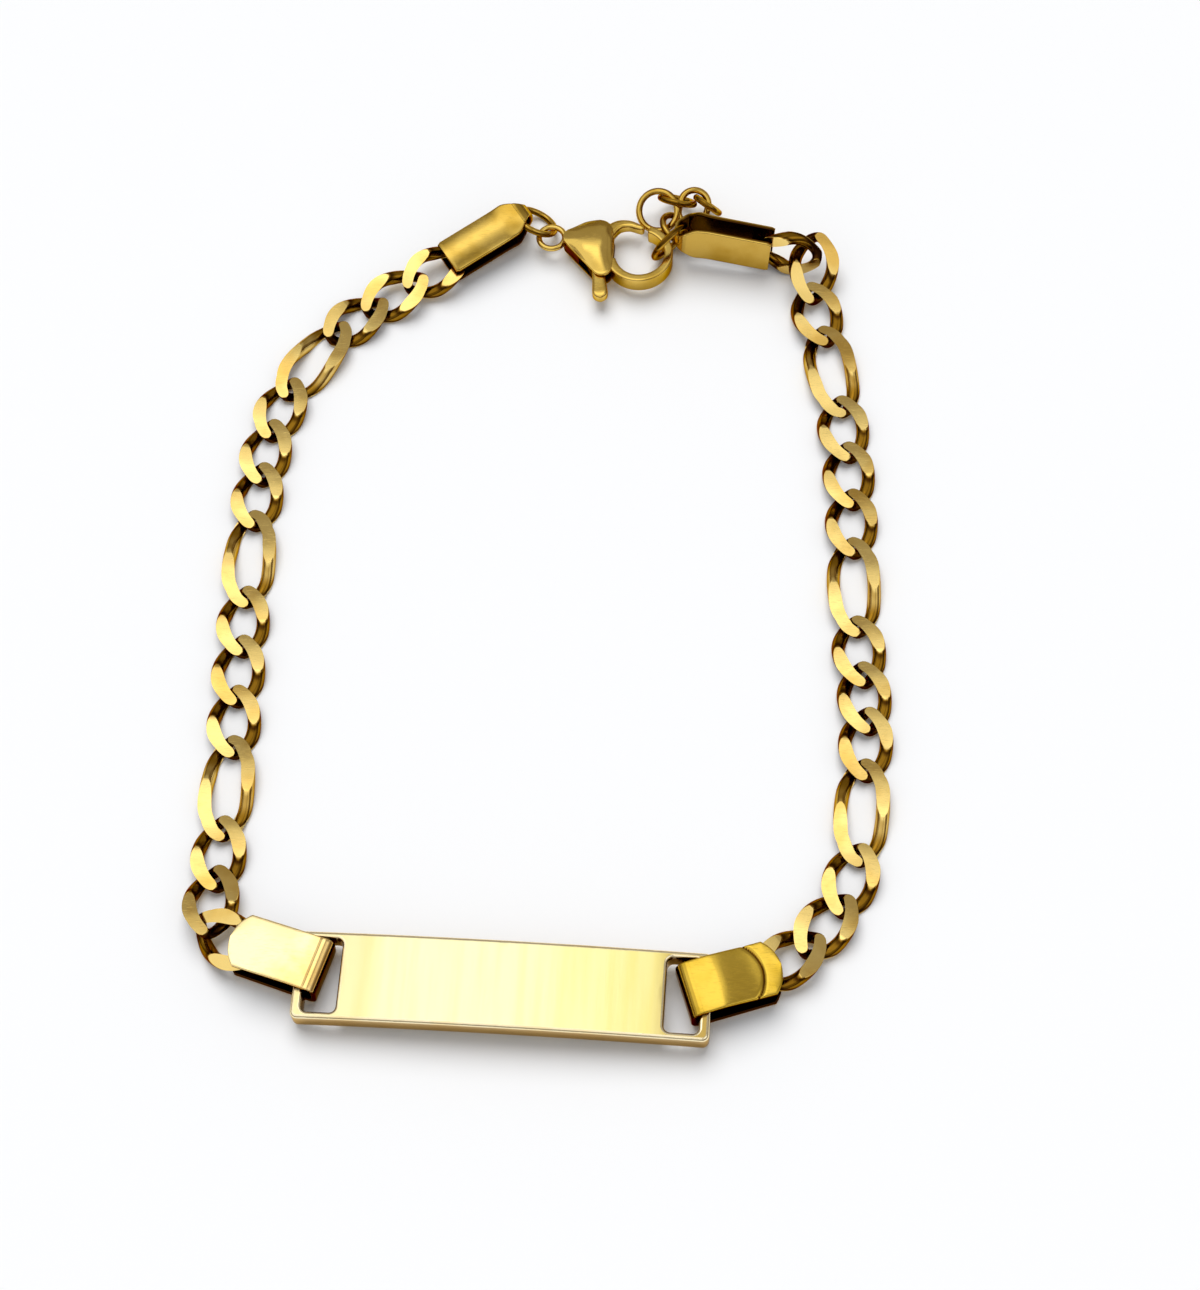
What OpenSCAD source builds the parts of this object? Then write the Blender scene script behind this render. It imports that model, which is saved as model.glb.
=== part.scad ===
// Figaro chain bracelet with a name plate, a lobster clasp and an extension chain.
// It lies closed on a flat surface at z = 0, with the plate at the front (-Y) and the clasp at the back.
// Lengths are in millimetres and angles in degrees.

/* [Figaro links] */
// Width of a figaro link, the size that such a chain is sold by
link_width = 4.0; // [3.96:0.01:4.02]
// Length of a short link over its ends
short_length = 5.86; // [5.82:0.01:5.9]
// How much longer a long link is
long_extra = 2.5; // [2.4:0.05:2.6]
// Thickness of the chain between its ground flats
chain_thickness = 1.04; // [1:0.02:1.08]
// Thickness of the wire, seen from above, at a link's ends
wire_at_end = 0.78; // [0.7:0.01:0.8]
// Thickness of the wire, seen from above, at a link's sides
wire_at_side = 1.0; // [0.9:0.02:1.02]
// Height of the wire at a link's ends, before its flats are ground
wire_height = 0.77; // [0.7:0.01:0.78]
// Height of the wire at a link's sides, before its flats are ground
wire_side_height = 1.3; // [1.1:0.05:1.3]
// How much wider the wire is at the link's shoulders, between its ends and its sides
shoulder_extra = 0.13; // [0.08:0.01:0.14]
// How far each end of a link is rolled out of the link's plane
link_twist = 51; // [49:1:53]

/* [Plate] */
// Length of the plate over its end bars
plate_length = 28.8; // [28.6:0.1:29]
// Width of the plate
plate_width = 6.3; // [6.2:0.1:6.5]
// Thickness of the plate
plate_thickness = 1.6; // [1.5:0.05:1.7]
// How far the plate's middle is arched up above its ends
plate_rise = 0.45; // [0.3:0.05:0.6]
// Width of the slot at each end of the plate, along the plate
slot_length = 2.4; // [2.3:0.05:2.5]
// Length of that slot, across the plate
slot_width = 5.3; // [5.2:0.05:5.4]
// Width of the bar that closes each slot
bar_width = 0.75; // [0.7:0.05:0.8]
// Height of the plate's ends above the surface, which lets the clips pass under the bars
plate_lift = 0.56; // [0.48:0.02:0.6]

/* [Clips] */
// Width of the folded strips that hold the chain
strip_width = 3.9; // [3.8:0.05:4]
// Thickness of those strips
strip_thickness = 0.36; // [0.34:0.01:0.4]
// Length of a clip at the plate
plate_clip_length = 7.0; // [6.9:0.05:7.1]
// Length of a clip at the clasp
end_clip_length = 7.8; // [7.6:0.1:8]
// Width of the strips at the clasp
end_strip_width = 2.9; // [2.8:0.05:3]
// Width of those strips where they fold
neck_width = 1.1; // [1.05:0.05:1.2]
// Diameter of the rivet that holds a link in its clip
rivet_d = 0.54; // [0.5:0.01:0.56]

/* [Lobster clasp] */
// Outer radius of the clasp's hook
hook_r = 2.68; // [2.64:0.02:2.72]
// Thickness of the hook, seen from above
hook_wall = 0.65; // [0.6:0.01:0.68]
// Thickness of the round eyelet at the clasp's tail
eyelet_wire = 0.46; // [0.42:0.02:0.5]
// Height of the hook's wall
hook_height = 1.42; // [1.36:0.02:1.44]
// Height of the clasp's domed body
body_height = 2.5; // [2.4:0.05:2.6]
// Thickness of the lever that closes the hook
lever_height = 0.9; // [0.8:0.05:0.95]
// Distance from the pin to the gate's tip
gate_reach = 4.35; // [4.3:0.05:4.4]
// Diameter of the pin that the lever turns on
pin_d = 0.7; // [0.6:0.05:0.8]
// Outer radius of the eyelet at the clasp's tail
eyelet_r = 1.25; // [1.2:0.05:1.25]

/* [Rings] */
// Thickness of the jump ring's wire
jump_wire = 0.42; // [0.4:0.01:0.43]
// Thickness of the extension chain's wire
extension_wire = 0.42; // [0.4:0.01:0.43]

/* [Hidden] */
LINKS_A_SIDE = 15;
SHORT_LINKS_IN_A_ROW = 3;

GOLD = [0.86, 0.68, 0.27];
PALE_GOLD = [0.93, 0.80, 0.45];
DARK_GOLD = [0.70, 0.52, 0.18];
GAP = 0.06;
ROUND = 48;

// The bracelet is laid out from the plate's centre, then moved so that its box is centred on the origin
LAYOUT_SHIFT = [-1.18, -32.03];

// Columns of the link tables below
HEADING = 0;
PUSH = 1;
ROLL = 2;
PITCH = 3;
HEIGHT = 4;
chain_half = chain_thickness / 2;
// Heading of each link, how far it is pushed into the one before, its roll, its pitch and its height
LEFT_LINKS = [
    [148, 0.00, -14,   7, 1.25],
    [ 90, 0.33,   3,  11, 1.03],
    [ 91, 0.33,   0,   1, 0.57],
    [ 91, 0.26,   0,   0, 0.52],
    [ 94, 0.14,   0,   0, 0.52],
    [ 92, 0.00,   0,   0, 0.52],
    [ 93, 0.04,   0,   0, 0.52],
    [ 92, 0.06,   0,   0, 0.52],
    [ 89, 0.00,   0,   0, 0.52],
    [ 86, 0.23,   0,   0, 0.52],
    [ 75, 0.10,   0,   0, 0.52],
    [ 60, 0.30,   0,   0, 0.52],
    [ 42, 0.45,   0,   0, 0.54],
    [ 34, 0.44,   7,  -7, 0.93],
    [ 38, 0.37,  10,  -3, 1.28]
];
RIGHT_LINKS = [
    [ 41, 0.00,   0,   6, 1.07],
    [ 55, 0.50,   0,   4, 0.73],
    [ 75, 0.15,   0,   0, 0.52],
    [ 88, 0.10,   0,   0, 0.52],
    [ 89, 0.06,   0,   0, 0.52],
    [ 97, 0.45,   0,   0, 0.52],
    [ 98, 0.35,   0,   0, 0.52],
    [ 94, 0.00,   0,   0, 0.52],
    [ 93, 0.00,   0,   0, 0.52],
    [ 96, 0.00,   0,   0, 0.52],
    [ 99, 0.00,   0,   0, 0.52],
    [103, 0.10,   0,   0, 0.52],
    [107, 0.20,   0,  -3, 0.74],
    [ 87, 0.30,  15, -19, 1.67],
    [171, 0.00, 100,  -2, 1.99]
];
LEFT_START = [-19.5, 2.4];
RIGHT_START = [19.65, 3.48];
RIGHT_LAST = [17.02, 61.36];
// Where the clip that holds the last right link has its middle, and how it lies
RIGHT_END_CLIP_AT = [17.02, 61.36];
RIGHT_END_CLIP = [171, 0, 100, -2, 2.02];

LINK_RINGS = 16;
WIRE_SIDES = 6;
PLAY = 0.2;
CREST = 1.3;
// How far the wire's middle bulges out at the shoulders
SHOULDER_BULGE = 0.05;
// How the wire grows from a link's ends to its sides: a power of the sine of the angle
GROWTH = 1.5;
end_radius_along = short_length / 2 - wire_at_end / 2;
end_radius_across = link_width / 2 - wire_at_side / 2;

arch_radius = pow(plate_length / 2, 2) / (2 * plate_rise);
plate_middle_z = plate_lift + plate_rise;
plate_corner_r = 0.5;
slot_corner_r = 0.45;

// Where each clip's fold is, measured from the plate's centre, and the way the clip runs from there
LEFT_CLIP_AT = [-12.35, 0.45];
LEFT_CLIP_HEADING = 165;
LEFT_CLIP_TILT = -4;
RIGHT_CLIP_AT = [12.46, 0.2];
RIGHT_CLIP_HEADING = 20;
RIGHT_CLIP_TILT = 0;

// Inner height of a clip at the plate, where its upper leaf is bent, and how far that leaf then drops
PLATE_CLIP_INNER = 1.98;
PLATE_CLIP_BEND = 2.1;
PLATE_CLIP_DROP = 0.45;
PLATE_CLIP_CORNER = 0.55;
plate_clip_z = PLATE_CLIP_INNER / 2 + strip_thickness;

// How far each clip at the clasp stays from the middle of the link that it holds
LEFT_GRIP = 1.12;
RIGHT_GRIP = 1.1;
// Room in such a clip beside the link's flats
LINK_ROOM = 0.26;
// How far a rivet is from the open end of its clip
RIVET_BACK = 0.6;
end_inner = chain_thickness + LINK_ROOM;
// Loop that such a clip's fold makes for a ring: its inner height, its corners and where it narrows
END_LOOP_INNER = 1.9;
END_LOOP_CORNER = 0.75;
END_LOOP_BEND = 1.05;
END_LOOP_FLAT = 2.2;

// Outline of the clasp, measured from the centre of its eyelet
CLASP_AT = [-1.48, 62.32];
CLASP_HEADING = -10;
clasp_z = body_height / 2 + 0.02;
HOOK_CENTRE = [7.18, -0.28];
HOOK_START = -152;
HOOK_END = 97;
PIVOT = [3.7, -0.4];
// Places, radii and heights of the discs that the domed body is stretched over
BODY_DISCS = [
    [1.75,  0.00, 0.80, 1.3],
    [3.75,  1.10, 0.95, 1.5],
    [4.40,  0.50, 0.60, 1.6],
    [4.65, -2.20, 0.80, 1.5],
    [3.60, -0.25, 0.95, 2.5]
];
// Places and radii along the lever's gate and its thumb tab
GATE = [
    [3.70, -0.40, 0.80],
    [4.60,  1.80, 0.50],
    [5.60,  2.42, 0.36],
    [6.74,  2.30, 0.26]
];
THUMB = [
    [3.70, -0.40, 0.80],
    [4.35, -2.30, 0.50],
    [5.00, -4.25, 0.62]
];
// Corners of the slot that the lever swings in
SLOT = [
    [2.3, 3.4], [6.2, 3.4], [6.2, -0.9], [4.86, -0.9], [4.86, -1.6],
    [5.08, -2.3], [5.4, -3.1], [6.2, -6], [1.0, -6], [2.3, -1.5]
];

// The jump ring's radius, place and pose
jump_ring_r = 1.65;
JUMP_RING_AT = [-2.91, 63.79];
JUMP_RING_HEIGHT = 1.21;
JUMP_RING_TURN = 87.3;
JUMP_RING_ROLL = 22.8;
JUMP_RING_TILT = 30.2;

// Columns of the table of the extension chain's rings: place, pose, radius and how far each is drawn long
RING_X = 0;
RING_Y = 1;
RING_Z = 2;
RING_TURN = 3;
RING_ROLL = 4;
RING_TILT = 5;
RING_R = 6;
RING_STRETCH = 7;
// The first ring is in the right clip's loop and is hooked by the clasp
EXTENSION = [
    [  7.92,  61.91,  1.82,   7.6, -48.4, -69.5,  1.65, 0.00],
    [  8.40,  63.83,  0.99,    73,   -26,  -157,  1.35, 0.00],
    [  6.80,  65.05,  1.57,  -130,   -13,    34,  1.55, 0.00],
    [  8.27,  66.07,  1.62,   -52,  -145,   145,  1.35, 0.00],
    [  9.58,  65.63,  1.35,  -102,   -11,    19,  1.10, 0.70],
    // The extension chain's last ring
    [ 10.69,  65.83,  1.52,   149,   121,   168,  1.08, 0.00]
];

// Tells whether a link of a figaro run is a long one
function is_long(k) = (k % (SHORT_LINKS_IN_A_ROW + 1)) == SHORT_LINKS_IN_A_ROW;
function extra(k) = is_long(k) ? long_extra : 0;
function heading(a) = [cos(a), sin(a)];

// Distance from a link's middle to the point where it hooks into the next
function reach(k, push) = (short_length + extra(k)) / 2 - wire_at_end - PLAY / 2 - push / 2;

// Step from link k - 1 to link k: along the heading of each, as far as each reaches
function step(links, k) =
    reach(k - 1, links[k][PUSH]) * heading(links[k - 1][HEADING])
    + reach(k, links[k][PUSH]) * heading(links[k][HEADING]);
function link_place(links, start, k) = k == 0 ? start : link_place(links, start, k - 1) + step(links, k);

// Eases a height off towards a limit, as pressing does
function pressed(z, limit) = z / sqrt(1 + pow(z / limit, 2));
function clamped(z, limit) = max(-limit, min(limit, z));

// One ring of the wire round a link, at angle t of the oval; its two halves are drawn apart by drawn
function link_ring(t, drawn) =
    let (
        x = end_radius_along * cos(t) + sign(cos(t)) * drawn / 2,
        y = end_radius_across * sin(t),
        normal = [end_radius_across * cos(t), end_radius_along * sin(t)],
        out = normal / norm(normal),
        roll = -link_twist * x / (end_radius_along + drawn / 2),
        grown = pow(abs(sin(t)), GROWTH),
        shoulder = pow(sin(2 * t), 2),
        wire = wire_at_end + (wire_at_side - wire_at_end) * grown + shoulder_extra * shoulder,
        height = wire_height + (wire_side_height - wire_height) * grown,
        z = pressed(y * sin(roll), CREST)
    )
    [for (j = [0 : WIRE_SIDES - 1])
        let (
            u = 360 * j / WIRE_SIDES,
            across = SHOULDER_BULGE * shoulder + wire / 2 * cos(u),
            up = height / 2 * sin(u)
        )
        [
            x + out[0] * across,
            (y + out[1] * across) * cos(roll) - up * sin(roll),
            clamped(z + out[1] * across * sin(roll) + up * cos(roll), chain_half)
        ]
    ];

// Closed tube through rings that all have the same number of points
module ring_tube(rings) {
    n = len(rings);
    m = len(rings[0]);
    polyhedron(
        points = [for (ring = rings) each ring],
        faces = [for (i = [0 : n - 1], j = [0 : m - 1]) each
            let (
                a = i * m + j,
                b = ((i + 1) % n) * m + j,
                c = ((i + 1) % n) * m + (j + 1) % m,
                d = i * m + (j + 1) % m
            )
            [[a, c, b], [a, d, c]]
        ],
        convexity = 6
    );
}

module figaro_link(drawn) {
    ring_tube([for (i = [0 : LINK_RINGS - 1]) link_ring(360 * (i + 0.5) / LINK_RINGS, drawn)]);
}

module laid_out() {
    translate([LAYOUT_SHIFT[0], LAYOUT_SHIFT[1], 0]) children();
}

// Puts a piece at a place, rolled about its own length, tilted, then turned to its heading
module put(at, z, turn, roll = 0, tilt = 0) {
    laid_out() translate([at[0], at[1], z]) rotate([roll, tilt, turn]) children();
}

module laid_link(links, at, k) {
    row = links[k];
    color(GOLD) put(at, row[HEIGHT], row[HEADING], row[ROLL], row[PITCH]) figaro_link(extra(k));
}

module left_link(k) {
    laid_link(LEFT_LINKS, link_place(LEFT_LINKS, LEFT_START, k), k);
}

module right_link(k) {
    last = LINKS_A_SIDE - 1;
    laid_link(RIGHT_LINKS, k == last ? RIGHT_LAST : link_place(RIGHT_LINKS, RIGHT_START, k), k);
}

// Rectangle with round corners, centred
module rounded_block(length, width, r, z0, z1) {
    translate([0, 0, z0]) linear_extrude(z1 - z0) union() {
        square([length - 2 * r, width], center = true);
        square([length, width - 2 * r], center = true);
        for (sx = [-1, 1], sy = [-1, 1])
            translate([sx * (length / 2 - r), sy * (width / 2 - r)]) circle(r, $fn = ROUND);
    }
}

// Everything under the arch whose crown is at height z
module arch(z) {
    translate([0, 0, z - arch_radius]) rotate([90, 0, 0])
        cylinder(r = arch_radius, h = 2 * plate_width, center = true, $fn = 720);
}

module id_plate() {
    slot_x = plate_length / 2 - bar_width - slot_length / 2;
    color(PALE_GOLD) laid_out() difference() {
        intersection() {
            rounded_block(plate_length, plate_width, plate_corner_r, 0, plate_middle_z + 2);
            arch(plate_middle_z + plate_thickness);
        }
        arch(plate_middle_z);
        for (side = [-1, 1])
            translate([side * slot_x, 0, 0]) rounded_block(slot_length, slot_width, slot_corner_r, 0, 9);
    }
}

// Outline of a strip of sheet along a line of points, each with its unit normal
function strip_outline(line, half) = concat(
    [for (p = line) [p[0] + half * p[2], p[1] + half * p[3]]],
    [for (i = [len(line) - 1 : -1 : 0]) [line[i][0] - half * line[i][2], line[i][1] - half * line[i][3]]]
);

// Side view of a hairpin: a leaf on top, a fold with two round corners, and a leaf below. From bend to flat
// the leaves come nearer to each other by the two drops.
// Each row is a point of the strip's middle line and its unit normal.
function hairpin(inner_height, corner, bend, flat, end, top_drop, low_drop) =
    let (
        half = (inner_height + strip_thickness) / 2,
        middle = strip_thickness / 2 + corner
    )
    concat(
        [[end, half - top_drop, 0, 1], [flat, half - top_drop, 0, 1], [bend, half, 0, 1]],
        [for (a = [90 : 15 : 180])
            [middle + corner * cos(a), half - corner + corner * sin(a), cos(a), sin(a)]],
        [for (a = [180 : 15 : 270])
            [middle + corner * cos(a), corner - half + corner * sin(a), cos(a), sin(a)]],
        [[bend, -half, 0, -1], [flat, low_drop - half, 0, -1], [end, low_drop - half, 0, -1]]
    );

// Folded strip: the hairpin's side view, cut to the plan that is its child
module folded_strip(line) {
    intersection() {
        rotate([90, 0, 0]) linear_extrude(strip_width + 2, center = true)
            polygon(strip_outline(line, strip_thickness / 2));
        translate([0, 0, -3]) linear_extrude(6) children();
    }
}

module rivet(at, z, height) {
    translate([at, 0, z]) cylinder(d = rivet_d, h = height, center = true, $fn = ROUND);
}

// Plan of a clip at the plate: a strip with a rounded end
module plate_clip_plan() {
    end_r = 2.6;
    translate([-1, -strip_width / 2]) square([plate_clip_length + 0.25, strip_width]);
    intersection() {
        translate([plate_clip_length - end_r, 0]) circle(end_r, $fn = ROUND);
        translate([0, -strip_width / 2]) square([plate_clip_length + 1, strip_width]);
    }
}

module plate_clip() {
    line = hairpin(
        PLATE_CLIP_INNER, PLATE_CLIP_CORNER, PLATE_CLIP_BEND, plate_clip_length, plate_clip_length + 1,
        PLATE_CLIP_DROP, 0
    );
    union() {
        folded_strip(line) plate_clip_plan();
        rivet(
            plate_clip_length - RIVET_BACK - 0.1, -PLATE_CLIP_DROP / 2 + 0.04,
            PLATE_CLIP_INNER - PLATE_CLIP_DROP + strip_thickness
        );
    }
}

module plate_clip_left() {
    color(GOLD) put(LEFT_CLIP_AT, plate_clip_z - 0.02, LEFT_CLIP_HEADING, 0, LEFT_CLIP_TILT) plate_clip();
}

module plate_clip_right() {
    color(GOLD) put(RIGHT_CLIP_AT, plate_clip_z, RIGHT_CLIP_HEADING, 0, RIGHT_CLIP_TILT) plate_clip();
}

// Plan of a clip at the clasp: a strip that narrows to a neck where it folds
module end_clip_plan() {
    half = end_strip_width / 2;
    neck = neck_width / 2;
    polygon([
        [-1, -neck], [0.9, -neck], [1.9, -half + 0.4], [3.4, -half], [end_clip_length, -half],
        [end_clip_length, half], [3.4, half], [1.9, half - 0.4], [0.9, neck], [-1, neck]
    ]);
}

// Clip at the clasp, drawn from its fold
module end_clip() {
    drop = (END_LOOP_INNER - end_inner) / 2;
    line = hairpin(
        END_LOOP_INNER, END_LOOP_CORNER, END_LOOP_BEND, END_LOOP_FLAT, end_clip_length + 1, drop, drop
    );
    union() {
        folded_strip(line) end_clip_plan();
        rivet(end_clip_length - RIVET_BACK, 0, end_inner + strip_thickness);
    }
}

// Clip at the clasp, laid round the last link of a side
module laid_end_clip(row, at, grip) {
    color(GOLD) put(at, row[HEIGHT], row[HEADING], row[ROLL], row[PITCH])
        translate([end_clip_length + grip, 0, 0]) rotate([0, 0, 180]) end_clip();
}

module end_clip_left() {
    last = LINKS_A_SIDE - 1;
    laid_end_clip(LEFT_LINKS[last], link_place(LEFT_LINKS, LEFT_START, last), LEFT_GRIP);
}

module end_clip_right() {
    laid_end_clip(RIGHT_END_CLIP, RIGHT_END_CLIP_AT, RIGHT_GRIP);
}

module on_clasp() {
    put(CLASP_AT, clasp_z, CLASP_HEADING) children();
}

// Flat bar between two round ends of different sizes
module taper_bar(a, b, thickness) {
    span = norm([b[0] - a[0], b[1] - a[1]]);
    lean = acos((a[2] - b[2]) / span);
    way = atan2(b[1] - a[1], b[0] - a[0]);
    for (p = [a, b])
        translate([p[0], p[1], 0]) cylinder(r = p[2], h = thickness, center = true, $fn = ROUND);
    linear_extrude(thickness, center = true) polygon([
        [a[0] + a[2] * cos(way + lean), a[1] + a[2] * sin(way + lean)],
        [a[0] + a[2] * cos(way - lean), a[1] + a[2] * sin(way - lean)],
        [b[0] + b[2] * cos(way - lean), b[1] + b[2] * sin(way - lean)],
        [b[0] + b[2] * cos(way + lean), b[1] + b[2] * sin(way + lean)]
    ]);
}

module at_pivot() {
    translate([PIVOT[0], PIVOT[1], 0]) children();
}

module pin_bore() {
    at_pivot() cylinder(d = pin_d + 2 * GAP, h = 9, center = true, $fn = ROUND);
}

module clasp_hook() {
    difference() {
        translate([HOOK_CENTRE[0], HOOK_CENTRE[1], 0]) rotate([0, 0, HOOK_START])
            rotate_extrude(angle = HOOK_END - HOOK_START, $fn = 96)
                translate([hook_r - hook_wall, -hook_height / 2]) square([hook_wall, hook_height]);
        // The hook's tip is cut to let the gate's tip swing past
        intersection() {
            at_pivot() cylinder(r = gate_reach + GAP, h = 9, center = true, $fn = 2 * ROUND);
            translate([HOOK_CENTRE[0], 6, 0]) cube([9, 10, 9], center = true);
        }
    }
}

module clasp_body() {
    color(GOLD) on_clasp() difference() {
        union() {
            rotate_extrude($fn = ROUND) translate([eyelet_r - eyelet_wire / 2, 0])
                circle(d = eyelet_wire, $fn = 24);
            translate([1.5, 0, 0]) cube([1, 1.3, 0.8], center = true);
            hull() for (disc = BODY_DISCS) translate([disc[0], disc[1], 0])
                cylinder(r = disc[2], h = disc[3], center = true, $fn = 32);
            clasp_hook();
        }
        linear_extrude(lever_height + 2 * GAP, center = true) polygon(SLOT);
        pin_bore();
    }
}

module clasp_lever() {
    color(PALE_GOLD) on_clasp() difference() {
        union() {
            for (i = [0 : len(GATE) - 2]) taper_bar(GATE[i], GATE[i + 1], lever_height);
            for (i = [0 : len(THUMB) - 2]) taper_bar(THUMB[i], THUMB[i + 1], lever_height);
        }
        pin_bore();
    }
}

module clasp_pin() {
    color(DARK_GOLD) on_clasp() at_pivot() cylinder(d = pin_d, h = body_height, center = true, $fn = ROUND);
}

// Ring of round wire, made long along X by stretch
module wire_ring(radius, wire, stretch) {
    if (stretch == 0) {
        rotate_extrude($fn = ROUND) translate([radius, 0]) circle(d = wire, $fn = 20);
    } else {
        for (side = [-1, 1]) {
            translate([side * stretch / 2, 0, 0]) rotate([0, 0, -90 * side])
                rotate_extrude(angle = 180, $fn = ROUND) translate([radius, 0]) circle(d = wire, $fn = 20);
            translate([0, side * radius, 0]) rotate([0, 90, 0])
                cylinder(d = wire, h = stretch, center = true, $fn = 20);
        }
    }
}

module jump_ring() {
    color(GOLD) put(JUMP_RING_AT, JUMP_RING_HEIGHT, JUMP_RING_TURN, JUMP_RING_ROLL, JUMP_RING_TILT)
        wire_ring(jump_ring_r, jump_wire, 0);
}

module extension_ring(k) {
    row = EXTENSION[k];
    color(GOLD) put([row[RING_X], row[RING_Y]], row[RING_Z], row[RING_TURN], row[RING_ROLL], row[RING_TILT])
        wire_ring(row[RING_R], extension_wire, row[RING_STRETCH]);
}

id_plate();
end_clip_left();
end_clip_right();
clasp_body();
clasp_lever();
clasp_pin();
plate_clip_left();
plate_clip_right();
left_link(0);  // left_link_00
left_link(1);  // left_link_01
left_link(2);  // left_link_02
left_link(3);  // left_link_03
left_link(4);  // left_link_04
left_link(5);  // left_link_05
left_link(6);  // left_link_06
left_link(7);  // left_link_07
left_link(8);  // left_link_08
left_link(9);  // left_link_09
left_link(10);  // left_link_10
left_link(11);  // left_link_11
left_link(12);  // left_link_12
left_link(13);  // left_link_13
left_link(14);  // left_link_14
right_link(0);  // right_link_00
right_link(1);  // right_link_01
right_link(2);  // right_link_02
right_link(3);  // right_link_03
right_link(4);  // right_link_04
right_link(5);  // right_link_05
right_link(6);  // right_link_06
right_link(7);  // right_link_07
right_link(8);  // right_link_08
right_link(9);  // right_link_09
right_link(10);  // right_link_10
right_link(11);  // right_link_11
right_link(12);  // right_link_12
right_link(13);  // right_link_13
right_link(14);  // right_link_14
jump_ring();
extension_ring(0);  // extension_ring_0
extension_ring(1);  // extension_ring_1
extension_ring(2);  // extension_ring_2
extension_ring(3);  // extension_ring_3
extension_ring(4);  // extension_ring_4
extension_ring(5);  // extension_ring_5
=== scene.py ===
"""Looks of a gold-coloured figaro chain bracelet with a name plate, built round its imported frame.

The bracelet lies on z = 0 with its plate at the front and its clasp at the back. Sizes are in millimetres
and angles in degrees, and a mesh is made in metres when it is handed to Blender.
"""

import logging
from dataclasses import dataclass, replace
from enum import Enum
from typing import Callable, Iterable, Sequence

import bmesh
import bpy
import numpy as np
from mathutils import Matrix, Vector


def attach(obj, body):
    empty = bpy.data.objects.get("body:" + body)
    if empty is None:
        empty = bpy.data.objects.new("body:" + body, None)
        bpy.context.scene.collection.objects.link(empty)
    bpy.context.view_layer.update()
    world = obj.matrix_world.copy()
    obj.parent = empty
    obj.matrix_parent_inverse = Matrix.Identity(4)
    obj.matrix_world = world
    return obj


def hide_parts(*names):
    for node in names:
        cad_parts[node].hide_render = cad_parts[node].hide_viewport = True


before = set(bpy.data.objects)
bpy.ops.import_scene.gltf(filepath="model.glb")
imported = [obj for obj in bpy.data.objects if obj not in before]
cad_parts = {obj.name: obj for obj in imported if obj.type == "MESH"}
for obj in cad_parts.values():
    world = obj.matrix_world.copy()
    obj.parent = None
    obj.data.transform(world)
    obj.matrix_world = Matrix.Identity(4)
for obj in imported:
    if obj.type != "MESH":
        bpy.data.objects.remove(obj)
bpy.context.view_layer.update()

Array = np.ndarray
Pair = tuple[float, float]
Triple = tuple[float, float, float]
Socket = bpy.types.NodeSocket
Material = bpy.types.Material
Colour = Triple | Socket
MM = 0.001
# Where the layout's origin, the middle of the plate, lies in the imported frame, in millimetres.
LAYOUT_SHIFT = np.array([-1.18, -32.03, 0.0])
# Points nearer than this are one point, and shorter edges are taken out, in metres.
SAME_POINT = 2e-7
SHORTEST_EDGE = 1e-8
# Lengths and cosines below this count as none.
TINY = 1e-9
EAST = (1.0, 0.0, 0.0)
NORTH = (0.0, 1.0, 0.0)
UP = (0.0, 0.0, 1.0)
log = logging.getLogger("bracelet")


class Body(Enum):
    """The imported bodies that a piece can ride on."""

    BRACELET = "bracelet"
    LEVER = "lever"


class Slot(Enum):
    """The record's material slots."""

    PLATE = "plate"
    CHAIN = "chain"
    CLIPS = "clips"
    CLASP = "clasp"
    LEVER = "lever"
    PIN = "pin"
    RINGS = "rings"


class Side(Enum):
    """The two ends of the bracelet, as it lies."""

    LEFT = "left"
    RIGHT = "right"


def eased(x: Array) -> Array:
    """Goes from 0 to 1 while x does, level at both ends: 3x^2 - 2x^3."""
    t = np.clip(x, 0.0, 1.0)
    return t * t * (3.0 - 2.0 * t)


def soft_ramp(x: Array, softness: float) -> Array:
    """Zero below zero and x above it, with a round corner: half the sum of x and root(x^2 + softness^2)."""
    return (x + np.sqrt(x * x + softness * softness)) / 2.0


def rays(angles: Array) -> Array:
    """Unit vectors in the XY plane, one for each angle."""
    return np.stack([np.cos(angles), np.sin(angles), 0 * angles], axis=-1)


def unit(rows: Array) -> Array:
    """Each row, made one long."""
    return rows / np.linalg.norm(rows, axis=-1, keepdims=True)


def steady(way: Sequence[float], rows: int) -> Array:
    """The same unit vector for every row of a path."""
    return np.tile(np.array(way, dtype=float), (rows, 1))


def turned_round(radii: Array, heights: Array, steps: int) -> Array:
    """Grid of circles about Z, one for each radius and height."""
    ring = radii[:, None, None] * rays(np.linspace(0.0, 2 * np.pi, steps, endpoint=False))
    return ring + heights[:, None, None] * np.array(UP)


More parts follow.
